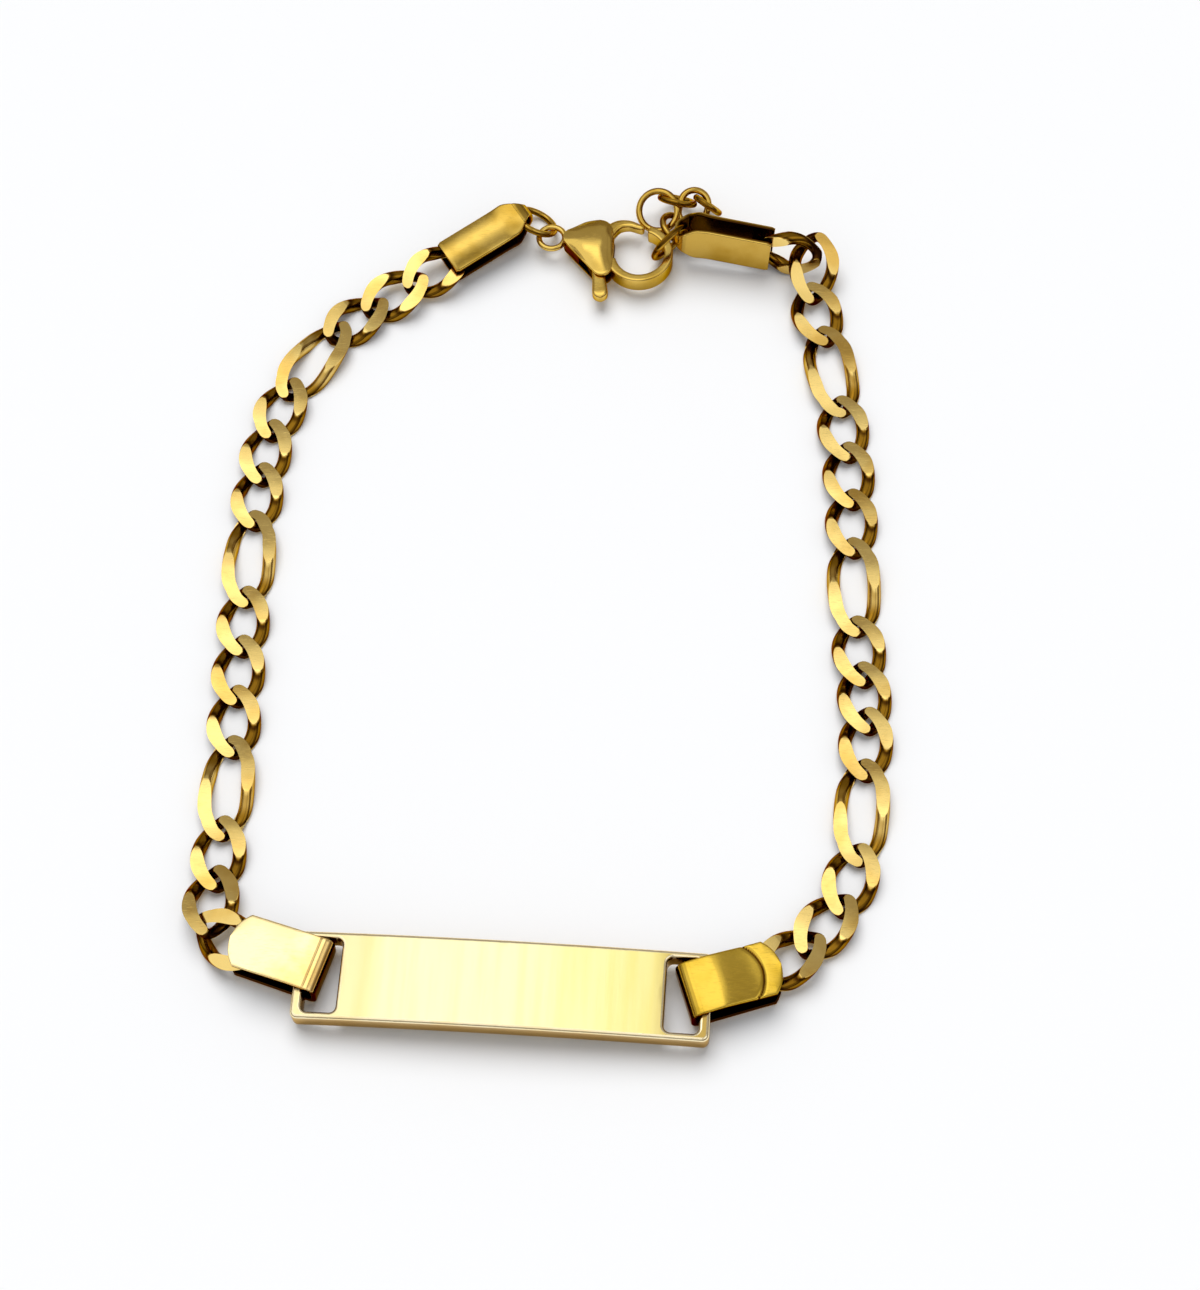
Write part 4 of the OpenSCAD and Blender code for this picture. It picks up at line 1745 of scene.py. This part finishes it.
@dataclass
class LobsterClasp:
    """Clasp with a round eyelet, two domed cheeks, a hook, and a lever on a pin between the cheeks.

    Args:
        at: place of the eyelet's middle.
        turn: the clasp's turn about Z.
        lift: height of its underside.
        body_height: height of the two cheeks together.
        lever_height: height of the lever.
        slot_gap: gap between the lever and a cheek.
        centre: where the cheeks' domes are highest.
        brim: height of the domes' edge.
        dome_power: the power of the distance from there by which a dome falls.
        dome_end: the dome's rings lie out by the sine of even angles up to this one.
        edge_share: share of the outline's reach that the round edge takes up.
        edge_fall: how far that edge falls.
        edge_from: angle of its arc at which it starts.
        chamfer: height of the cheek's lower edge.
        chamfer_share: share of the outline's reach that is inside that edge.
        under_painted_shade: how dark the painted shade makes the cheek under its brim, from 0 to 1.
        discs: place and radius of the discs that the cheeks' outline is stretched round.
        bulge: how much further the outline reaches at bulge_at.
        bulge_at: the angle of that bulge.
        bulge_width: its width in radians.
        eyelet: outer radius of the eyelet.
        eyelet_wire: thickness of its wire.
        web_span: angles between which a wall closes the gap between the cheeks.
        web_inset: how far the wall's middle lies inside the outline.
        web_half: half its width.
        web_sunk: how far it runs into each cheek.
        web_edge: radius of its edges.
        web_painted_shade: how dark the painted shade makes it.
        neck_span: where the neck starts and ends.
        neck_grows: length over which it grows.
        neck_width: half its width at the eyelet and at the cheeks.
        neck_height: half its height there.
        neck_edge: radius of its edges there.
        hook_at: middle of the hook's arc.
        hook_radius: its outer radius.
        hook_wall: the hook's width in plan.
        hook_root: how much wider it is where it leaves the body.
        hook_root_span: angle over which that is lost.
        hook_height: its height.
        hook_edge: radius of its edges.
        hook_start: angle at which it leaves the body.
        hook_tip: angle at which it ends.
        hook_end: angle that its round tip takes up.
        hook_blunt: share of its width that is left at the tip.
        hook_flat: share of its height that stays over that.
        hook_steps: points along it before the tip.
        arms: place and half width of the points that the lever's bar runs through.
        lever_steps: points along it.
        lever_edge: radius of its edges.
        lever_blunt: share of its height that is left at its ends.
        lever_bend: angles of the arc of a round end, at its tip and where it joins the bar.
        lever_least: the least half width that it is given.
        pivot: place of the pin.
        pin: its radius.
        pin_inset: how far its ends lie inside the cheeks' faces.
        pin_dome: how far they are domed.
        pin_from: angle of their arc at which their flat middle ends.
    """

    at: Pair = (-1.48, 62.32)
    turn: float = -10.0
    lift: float = 0.02
    body_height: float = 2.5
    lever_height: float = 0.9
    slot_gap: float = 0.06
    centre: Pair = (3.55, -0.15)
    brim: float = 0.70
    dome_power: float = 2.4
    dome_end: float = 74.0
    edge_share: float = 0.038
    edge_fall: float = 0.10
    edge_from: float = 20.0
    chamfer: float = 0.02
    chamfer_share: float = 0.99
    under_painted_shade: float = 0.7
    discs: tuple[Triple, ...] = (
        (1.75, 0.00, 0.80),
        (3.75, 1.10, 0.95),
        (4.40, 0.50, 0.60),
        (4.65, -2.20, 0.80),
        (3.60, -0.25, 0.95),
    )
    bulge: float = 0.10
    bulge_at: float = 122.0
    bulge_width: float = 0.45
    eyelet: float = 1.25
    eyelet_wire: float = 0.46
    web_span: Pair = (118.0, 236.0)
    web_inset: float = 0.24
    web_half: float = 0.20
    web_sunk: float = 0.03
    web_edge: float = 0.05
    web_painted_shade: float = 0.8
    neck_span: Pair = (1.05, 2.45)
    neck_grows: float = 1.0
    neck_width: Pair = (0.42, 0.78)
    neck_height: Pair = (0.23, 0.67)
    neck_edge: Pair = (0.14, 0.24)
    hook_at: Pair = (7.18, -0.28)
    hook_radius: float = 2.68
    hook_wall: float = 0.65
    hook_root: float = 0.12
    hook_root_span: float = 70.0
    hook_height: float = 1.42
    hook_edge: float = 0.13
    hook_start: float = -152.0
    hook_tip: float = 85.0
    hook_end: float = 4.0
    hook_blunt: float = 0.25
    hook_flat: float = 0.4
    hook_steps: int = 90
    arms: tuple[Triple, ...] = (
        (5.00, -4.25, 0.62),
        (4.35, -2.30, 0.50),
        (3.70, -0.40, 0.80),
        (4.60, 1.80, 0.50),
        (5.60, 2.42, 0.36),
        (6.74, 2.30, 0.26),
    )
    lever_steps: int = 120
    lever_edge: float = 0.26
    lever_blunt: float = 0.35
    lever_bend: Pair = (88.0, 5.0)
    lever_least: float = 0.03
    pivot: Pair = (3.7, -0.4)
    pin: float = 0.35
    pin_inset: float = 0.06
    pin_dome: float = 0.05
    pin_from: float = 10.0

    def pose(self) -> Pose:
        """How the clasp lies."""
        return Pose(*self.at, self.body_height / 2 + self.lift, self.turn)

    def cheek_floor(self) -> float:
        """Height of a cheek's inner face above the clasp's middle."""
        return self.lever_height / 2 + self.slot_gap

    def outline(self, ways: Array) -> Array:
        """Distance from the centre to the line stretched round the discs, along each angle.

        The shape is convex, so along an angle it ends at the nearest of its tangents: the least, over every
        direction, of the reach in that direction over the cosine between the two.

        Args:
            ways: the angles.

        Returns:
            The distance along each.
        """
        around = np.radians(np.arange(0.0, 360.0, 1.0))
        discs = np.array(self.discs)
        reach = ((discs[:, :2] - self.centre) @ rays(around)[:, :2].T + discs[:, 2:]).max(axis=0)
        cosine = np.cos(ways[:, None] - around)
        least = 0.02
        hull = np.where(cosine > least, reach / np.maximum(cosine, least), np.inf).min(axis=1)
        off = np.angle(np.exp(1j * (ways - np.radians(self.bulge_at))))
        return hull * (1 + self.bulge * np.exp(-((off / self.bulge_width) ** 2)))

    def cheek(self, side: float) -> Skin:
        """One domed cheek, from the crown of its dome down to its rim and back under it to the middle.

        The rings near the crown are nearly round and take on the outline further out. The round part is a
        circle off the centre, which is what the outline's first two waves add up to.

        Args:
            side: 1 for the upper cheek and -1 for the lower one.

        Returns:
            The skin.
        """
        ways = np.radians(np.arange(0.0, 360.0, 3.0))
        reach = self.outline(ways)
        floor = self.cheek_floor()
        share = np.sin(np.radians(np.linspace(0.0, self.dome_end, 16)))
        bend = np.radians(np.linspace(self.edge_from, 90.0, 6))
        edge_out = 1 - self.edge_share * (1 - np.sin(bend))
        out = np.concatenate([share, edge_out, [1.0, self.chamfer_share, 0.0]])
        dome = self.brim + (self.body_height / 2 - self.brim) * (1 - share**self.dome_power)
        edge = dome[-1] - self.edge_fall * (1 - np.cos(bend))
        z = np.concatenate([dome, edge, [floor + self.chamfer, floor, floor]])[:, None]
        waves = np.fft.rfft(reach)
        round_part = np.fft.irfft(np.where(np.arange(len(waves)) < 2, waves, 0.0), len(reach))
        own = np.clip(out, 0.0, 1.0)[:, None] ** 2
        radius = out[:, None] * ((1 - own) * round_part + own * reach)
        points = radius[..., None] * rays(ways) + np.array([*self.centre, 0.0])
        points[..., 2] = side * z
        # Painted shade on the cheek's underside, below its brim.
        return Skin(points, painted_shade=(z <= floor + self.chamfer) * self.under_painted_shade)

    def web(self) -> Skin:
        """Wall that closes the cheeks' gap round the tail, a bar carried along their outline.

        Returns:
            The skin.
        """
        ways = np.radians(np.linspace(*self.web_span, 40))
        out = rays(ways)
        path = out * (self.outline(ways) - self.web_inset)[:, None] + np.array([*self.centre, 0.0])
        profile = bar_profile(self.web_half, self.cheek_floor() + self.web_sunk, self.web_edge)
        # Painted shade on the whole wall in the cheeks' gap.
        return Skin(carry(path, out, steady(UP, len(ways)), profile), capped=True, painted_shade=self.web_painted_shade)

    def neck(self) -> Skin:
        """Neck between the eyelet and the cheeks, which grows towards them.

        Returns:
            The skin.
        """
        x = np.linspace(*self.neck_span, 12)
        grow = eased((x - self.neck_span[0]) / self.neck_grows)
        ends = (self.neck_width, self.neck_height, self.neck_edge)
        width, height, edge = (first + (last - first) * grow for first, last in ends)
        path = x[:, None] * np.array(EAST)
        profile = bar_profile(width, height, edge)
        return Skin(carry(path, steady(NORTH, len(x)), steady(UP, len(x)), profile), capped=True)

    def eyelet_skin(self) -> Skin:
        """Round eyelet at the tail: a circle carried round a circle.

        Returns:
            The skin.
        """
        out = rays(np.linspace(0.0, 2 * np.pi, 56, endpoint=False))
        path = out * (self.eyelet - self.eyelet_wire / 2)
        grid = carry(path, out, steady(UP, len(out)), round_profile(self.eyelet_wire / 2))
        return Skin(grid, rows_close=True)

    def hook(self) -> Skin:
        """Hook: a bar carried round an arc, thicker where it leaves the body, with a round tip.

        Returns:
            The skin.
        """
        bend = np.linspace(0.0, np.pi / 2, 8)[1:]
        shaft = np.linspace(self.hook_start, self.hook_tip - self.hook_end, self.hook_steps)
        turn = np.concatenate([shaft, self.hook_tip - self.hook_end + self.hook_end * np.sin(bend)])
        tip = self.hook_blunt + (1 - self.hook_blunt) * np.cos(bend)
        shrink = np.concatenate([np.ones(self.hook_steps), tip])
        out = rays(np.radians(turn))
        root = 1 - eased((turn - self.hook_start) / self.hook_root_span)
        wall = self.hook_wall + self.hook_root * root
        path = out * (self.hook_radius - wall / 2)[:, None] + np.array([*self.hook_at, 0.0])
        height = self.hook_height * (self.hook_flat + (1 - self.hook_flat) * shrink)
        profile = bar_profile(wall / 2 * shrink, height / 2, self.hook_edge)
        return Skin(carry(path, out, steady(UP, len(turn)), profile), capped=True)

    def lever_skin(self) -> Skin:
        """Lever: one bar through the thumb tab, the pin and the gate, round at both ends.

        Returns:
            The skin.
        """
        line = smooth_line(np.array(self.arms), self.lever_steps)
        bend = np.radians(np.linspace(*self.lever_bend, 12))
        start, finish = (
            np.column_stack(
                [
                    end[:2] + end[2] * np.sin(bend)[:, None] * unit((end - inner)[:2]),
                    end[2] * np.cos(bend),
                ]
            )
            for end, inner in ((line[0], line[1]), (line[-1], line[-2]))
        )
        rows = np.concatenate([start, line, finish[::-1]])
        path = rows * np.array([1.0, 1.0, 0.0])
        tangent = unit(np.gradient(path, axis=0))
        side = np.stack([tangent[:, 1], -tangent[:, 0], 0 * tangent[:, 0]], axis=-1)
        ends = np.concatenate([np.cos(bend), np.ones(len(line)), np.cos(bend)[::-1]])
        height = self.lever_height * (self.lever_blunt + (1 - self.lever_blunt) * np.sqrt(ends))
        half_width = np.maximum(rows[:, 2], self.lever_least)
        profile = bar_profile(half_width, height / 2, self.lever_edge, arc=8)
        return Skin(carry(path, side, steady(UP, len(rows)), profile), capped=True)

    def pin_skin(self) -> Skin:
        """Pin between the cheeks: circles about the pivot, with slightly domed ends.

        Returns:
            The skin.
        """
        bend = np.radians(np.linspace(self.pin_from, 90.0, 5))
        height = self.body_height / 2 - self.pin_inset - self.pin_dome * (1 - np.sin(bend))
        z = np.concatenate([-height[::-1], height])
        radius = self.pin * np.concatenate([np.sin(bend), np.sin(bend)[::-1]])
        return Skin(turned_round(radius, z, steps=32) + np.array([*self.pivot, 0.0]), capped=True)

    def build(self, gold: Material) -> None:
        """Makes the clasp's body, lever and pin.

        Args:
            gold: their finish.
        """
        pose = self.pose()
        body = [self.cheek(1.0), self.cheek(-1.0), self.web(), self.neck(), self.eyelet_skin(), self.hook()]
        make_piece([s.moved(pose) for s in body], Wear("clasp_shell", Slot.CLASP, (gold,), ("clasp_body",)))
        lever = Wear("clasp_gate", Slot.LEVER, (gold,), ("clasp_lever",), Body.LEVER)
        make_piece([self.lever_skin().moved(pose)], lever)
        make_piece([self.pin_skin().moved(pose)], Wear("clasp_rivet", Slot.PIN, (gold,), ("clasp_pin",)))


@dataclass(frozen=True)
class WireRing:
    """Ring of round wire, which may be drawn long.

    Args:
        name: the piece's name.
        node: the solid that it stands for.
        pose: how that solid lies.
        radius: radius of the wire's middle.
        wire: thickness of the wire.
        laid_wire: thickness of the solid's wire, which is what the pose rests on.
        stretch: how far its halves are drawn apart.
        painted_dark: how dark the painted shade makes its inner and outer sides, from 0 to 1.
        side_shade_power: how narrow those painted dark sides are.
        arc_steps: steps of each half.
        line_steps: steps of each straight side, if it has any.
        wire_steps: points round the wire.
    """

    name: str
    node: str
    pose: Pose
    radius: float
    wire: float = 0.52
    laid_wire: float = 0.42
    stretch: float = 0.0
    painted_dark: float = 0.85
    side_shade_power: float = 5.0
    arc_steps: int = 30
    line_steps: int = 6
    wire_steps: int = 18

    def build(self, gold: Material) -> None:
        """Makes the ring: a circle carried round an oval.

        Args:
            gold: its finish.
        """
        t, shift = oval(self.stretch, self.arc_steps, self.line_steps if self.stretch else 0)
        out = rays(t)
        path = self.radius * out + shift[:, None] * np.array(EAST)
        profile = round_profile(self.wire / 2, self.wire_steps)
        # Painted shade on the wire's inner and outer sides, standing in for dark reflections.
        sides = self.painted_dark * np.abs(profile[..., 0] / (self.wire / 2)) ** self.side_shade_power
        skin = Skin(carry(path, out, steady(UP, len(t)), profile), rows_close=True, painted_shade=sides)
        pose = replace(self.pose, z=self.pose.z + (self.wire - self.laid_wire) / 2)
        make_piece([skin.moved(pose)], Wear(self.name, Slot.RINGS, (gold,), (self.node,)))


@dataclass(frozen=True)
class SoftBox:
    """A bright patch of the room that the metal mirrors.

    Where it lies is given on a flat ceiling one high: how far to the right, and how far to the back.

    Args:
        light: how bright it is.
        across: where it starts and ends to the right.
        deep: where it starts and ends to the back.
        across_soft: how soft its left and right edges are.
        deep_soft: how soft its front and back edges are.
    """

    light: float
    across: Pair
    deep: Pair
    across_soft: float
    deep_soft: float

    def seen(self, u: Level, v: Level) -> Level:
        """Its light at a place on the ceiling."""
        return u.between(*self.across, self.across_soft) * v.between(*self.deep, self.deep_soft) * self.light


@dataclass
class Studio:
    """White surface, soft light from above and the camera.

    Args:
        aim: the place on the surface that the camera looks at.
        distance: the camera's distance from it.
        elevation: its angle above the surface.
        azimuth: its angle to the right of the front.
        roll: its turn about its own axis.
        focal_pixels: its focal length in pixels of the photo.
        image_height: the photo's height in pixels.
        sensor: width of its sensor, as Blender counts it.
        clips: the nearest and furthest distance that it sees, in metres.
        floor_radii: radii of the white sheet's rings.
        floor_height: height of the sheet.
        boxes: the room that the metal mirrors: its ceiling, the broad soft box overhead, the lamp in it,
            the soft box to the right, the window to the left, and the walls to the right and at the back.
        horizon: the least height of a mirrored direction.
        dark: light of the room's darkest part.
        dim_tint: its colour.
        full_light: light from which the room is white.
        plain: light from all round that falls on what isn't mirrored.
        plain_tint: its colour.
        sun_strength: strength of the broad light.
        sun_angle: how broad it is.
        sun_way: the direction that it comes from.
    """

    aim: Pair = (3.59, -4.73)
    distance: float = 191.9
    elevation: float = 64.0
    azimuth: float = 7.9
    roll: float = -4.3
    focal_pixels: float = 2600.0
    image_height: float = 1290.0
    sensor: float = 36.0
    clips: Pair = (0.005, 20.0)
    floor_radii: tuple[float, ...] = (0.0, 300.0, 3000.0)
    floor_height: float = -0.01
    boxes: tuple[SoftBox, ...] = (
        SoftBox(0.20, (-1.6, 0.85), (-5.0, 2.8), 0.25, 0.3),
        SoftBox(0.60, (-1.5, 0.17), (-0.95, 0.64), 0.07, 0.10),
        SoftBox(0.65, (-0.50, 0.08), (0.12, 0.45), 0.05, 0.08),
        SoftBox(0.62, (0.35, 1.2), (-0.6, 0.2), 0.10, 0.12),
        SoftBox(0.35, (-3.4, -1.8), (-1.2, 1.8), 0.3, 0.3),
        SoftBox(0.20, (0.9, 2.0), (-0.9, 1.8), 0.15, 0.2),
        SoftBox(0.08, (-8.0, 8.0), (2.7, 100.0), 2.0, 0.5),
    )
    horizon: float = 0.03
    dark: float = 0.23
    dim_tint: Triple = (0.66, 0.40, 0.16)
    full_light: float = 0.6
    plain: float = 0.5
    plain_tint: Triple = (0.97, 0.985, 1.0)
    sun_strength: float = 2.25
    sun_angle: float = 50.0
    sun_way: Triple = (-0.15, 0.55, 1.0)

    def camera(self) -> None:
        """Makes the camera: it looks at the aim from the photo's angle, rolled about its own axis."""
        elevation, azimuth, roll = np.radians([self.elevation, self.azimuth, self.roll])
        right = rays(azimuth)
        front = -rays(azimuth + np.pi / 2)
        back = np.cos(elevation) * front + np.sin(elevation) * np.array(UP)
        up = np.cross(back, right)
        turned_right = np.cos(roll) * right + np.sin(roll) * up
        turned_up = np.cos(roll) * up - np.sin(roll) * right
        place = (np.array([*self.aim, 0.0]) + self.distance * back) * MM
        lens = bpy.data.cameras.new("camera")
        lens.lens = self.focal_pixels / self.image_height * self.sensor
        lens.sensor_width = self.sensor
        lens.clip_start, lens.clip_end = self.clips
        camera = bpy.data.objects.new("camera", lens)
        turn = Matrix(np.stack([turned_right, turned_up, back], axis=-1).tolist()).to_4x4()
        camera.matrix_world = Matrix.Translation(Vector(place.tolist())) @ turn
        bpy.context.scene.collection.objects.link(camera)
        bpy.context.scene.camera = camera

    def floor(self) -> None:
        """Makes the white surface: a broad round sheet just under the bracelet."""
        radii = np.array(self.floor_radii)
        points = turned_round(radii, np.full(len(radii), self.floor_height), steps=64) * MM
        mesh = bpy.data.meshes.new("white_surface")
        mesh.from_pydata(points.reshape(-1, 3).tolist(), [], Skin(points).faces(0))
        mesh.materials.append(WhitePaper().material())
        sheet = bpy.data.objects.new("white_surface", mesh)
        bpy.context.scene.collection.objects.link(sheet)

    def sky(self) -> None:
        """Makes the light from all round: the room for what is mirrored, and an even one for the rest."""
        world = bpy.data.worlds.new("studio")
        world.use_nodes = True
        bpy.context.scene.world = world
        bench = NodeBench(world.node_tree)
        way = bench.add("ShaderNodeTexCoord").outputs["Generated"]
        split = bench.add("ShaderNodeSeparateXYZ", {0: way})
        x, y, z = (Level(bench, split.outputs[k]) for k in range(3))
        above = z.math("MAXIMUM", self.horizon)
        u = x / above
        v = y / above
        light = sum((box.seen(u, v) for box in self.boxes), self.dark)
        tint = bench.blend(light.step(0.0, self.full_light), self.dim_tint, (1.0, 1.0, 1.0))
        mirrored = bench.add("ShaderNodeLightPath").outputs["Is Glossy Ray"]
        strength = bench.add("ShaderNodeMix", {0: mirrored, 2: self.plain, 3: light}, data_type="FLOAT")
        colours = {0: mirrored, 6: (*self.plain_tint, 1.0), 7: tint}
        seen = bench.add("ShaderNodeMix", colours, data_type="RGBA")
        sky = bench.add("ShaderNodeBackground", {"Color": seen.outputs[2], "Strength": strength.outputs[0]})
        bench.add("ShaderNodeOutputWorld", {"Surface": sky.outputs[0]})

    def lamp(self) -> None:
        """Makes the broad light that whitens the surface and casts the soft shadows."""
        light = bpy.data.lights.new("soft_light", "SUN")
        light.energy = self.sun_strength
        light.angle = float(np.radians(self.sun_angle))
        lamp = bpy.data.objects.new("soft_light", light)
        lamp.matrix_world = Vector(self.sun_way).to_track_quat("Z", "Y").to_matrix().to_4x4()
        lamp.visible_glossy = False
        bpy.context.scene.collection.objects.link(lamp)

    def build(self) -> None:
        """Makes the studio and sets the plain colour transform that keeps the white surface white."""
        self.camera()
        self.floor()
        self.sky()
        self.lamp()
        bpy.context.scene.view_settings.view_transform = "Standard"


# Worn by the chain, the end clips, the clasp, the rings, the plate's face, its rims, and its left and
# right clip. Several are lighter or darker copies of one gold, as painted light and painted shade.
FINISHES = (
    PolishedGold("polished_gold"),
    # This and the next two are darker copies of the chain's gold for the end clips, the clasp and the rings:
    # painted shade.
    PolishedGold(
        "leaf_gold_painted_shade",
        light=(0.70, 0.47, 0.10),
        warm=(0.50, 0.30, 0.035),
        roughness=0.12,
        wave_scale=300.0,
        waves=0.8,
    ),
    PolishedGold("shell_gold_painted_shade", light=(0.78, 0.53, 0.12), warm=(0.56, 0.34, 0.045), wave_scale=300.0),
    PolishedGold("ring_gold_painted_shade", light=(0.72, 0.47, 0.09), warm=(0.52, 0.30, 0.035)),
    SatinGold("satin_gold"),
    # Paler gold, a painted highlight on the plate's bevels, whose darker colours give its walls and
    # underside painted shade.
    PolishedGold(
        "rim_gold_painted_light_and_shade",
        light=(1.0, 0.88, 0.58),
        warm=(0.96, 0.78, 0.42),
        middle=(0.62, 0.44, 0.24),
        dark=(0.22, 0.11, 0.05),
        edge_tint=(0.9, 0.7, 0.4),
    ),
    # Paler copy for the left plate clip: painted light.
    PolishedGold("left_clip_painted_light_gold", light=(1.0, 0.82, 0.41), warm=(0.95, 0.62, 0.20), wave_scale=300.0),
    # Darker copy for the right plate clip: painted shade, standing in for a dark reflection.
    PolishedGold("right_clip_painted_shade_gold", light=(0.71, 0.47, 0.06), warm=(0.53, 0.33, 0.02), wave_scale=300.0),
)
LEFT_RUN = FigaroRun(
    Side.LEFT,
    (-19.5, 2.4),
    (
        LinkRow(148, 0.00, -14, 7, 1.25),
        LinkRow(90, 0.33, 3, 11, 1.03),
        LinkRow(91, 0.33, 0, 1, 0.57),
        LinkRow(91, 0.26),
        LinkRow(94, 0.14),
        LinkRow(92, 0.00),
        LinkRow(93, 0.04),
        LinkRow(92, 0.06),
        LinkRow(89, 0.00),
        LinkRow(86, 0.23),
        LinkRow(75, 0.10),
        LinkRow(60, 0.30),
        LinkRow(42, 0.45, 0, 0, 0.54),
        LinkRow(34, 0.44, 7, -7, 0.93),
        LinkRow(38, 0.37, 10, -3, 1.28),
    ),
    seed=11,
)
RIGHT_RUN = FigaroRun(
    Side.RIGHT,
    (19.65, 3.48),
    (
        LinkRow(41, 0.00, 0, 6, 1.07),
        LinkRow(55, 0.50, 0, 4, 0.73),
        LinkRow(75, 0.15),
        LinkRow(88, 0.10),
        LinkRow(89, 0.06),
        LinkRow(97, 0.45),
        LinkRow(98, 0.35),
        LinkRow(94, 0.00),
        LinkRow(93, 0.00),
        LinkRow(96, 0.00),
        LinkRow(99, 0.00),
        LinkRow(103, 0.10),
        LinkRow(107, 0.20, 0, -3, 0.74),
        LinkRow(87, 0.30, 15, -19, 1.67),
        LinkRow(171, 0.00, 100, -2, 1.99),
    ),
    last_at=(17.02, 61.36),
    seed=12,
)
RIGHT_END_CLIP = Pose(17.02, 61.36, 2.02, 171, 100, -2)
JUMP_RING = WireRing("clasp_jump_ring", "jump_ring", Pose(-2.91, 63.79, 1.21, 87.3, 22.8, 30.2), 1.65)
EXTENSION = (
    WireRing("end_ring_0", "extension_ring_0", Pose(7.92, 61.91, 1.82, 7.6, -48.4, -69.5), 1.65),
    WireRing("end_ring_1", "extension_ring_1", Pose(8.40, 63.83, 0.99, 73, -26, -157), 1.35),
    WireRing("end_ring_2", "extension_ring_2", Pose(6.80, 65.05, 1.57, -130, -13, 34), 1.55),
    WireRing("end_ring_3", "extension_ring_3", Pose(8.27, 66.07, 1.62, -52, -145, 145), 1.35),
    WireRing("end_ring_4", "extension_ring_4", Pose(9.58, 65.63, 1.35, -102, -11, 19), 1.10, stretch=0.70),
    WireRing("end_ring_5", "extension_ring_5", Pose(10.69, 65.83, 1.52, 149, 121, 168), 1.08),
)


def main() -> None:
    """Builds the studio and every piece of the bracelet."""
    logging.basicConfig(level=logging.INFO, format="%(message)s")
    Studio().build()
    golds = {finish.name: finish.material() for finish in FINISHES}
    link = FigaroLink()
    for run in (LEFT_RUN, RIGHT_RUN):
        run.build(link, golds["polished_gold"])
    NamePlate().build(golds["satin_gold"], golds["rim_gold_painted_light_and_shade"])
    left_last = LEFT_RUN.pose(link, len(LEFT_RUN.rows) - 1)
    clip_golds = [golds[name] for name in ("left_clip_painted_light_gold", "right_clip_painted_shade_gold", "leaf_gold_painted_shade")]
    Clips().build(left_last, RIGHT_END_CLIP, clip_golds)
    LobsterClasp().build(golds["shell_gold_painted_shade"])
    for ring in (JUMP_RING, *EXTENSION):
        ring.build(golds["ring_gold_painted_shade"])


if __name__ == "__main__":
    main()
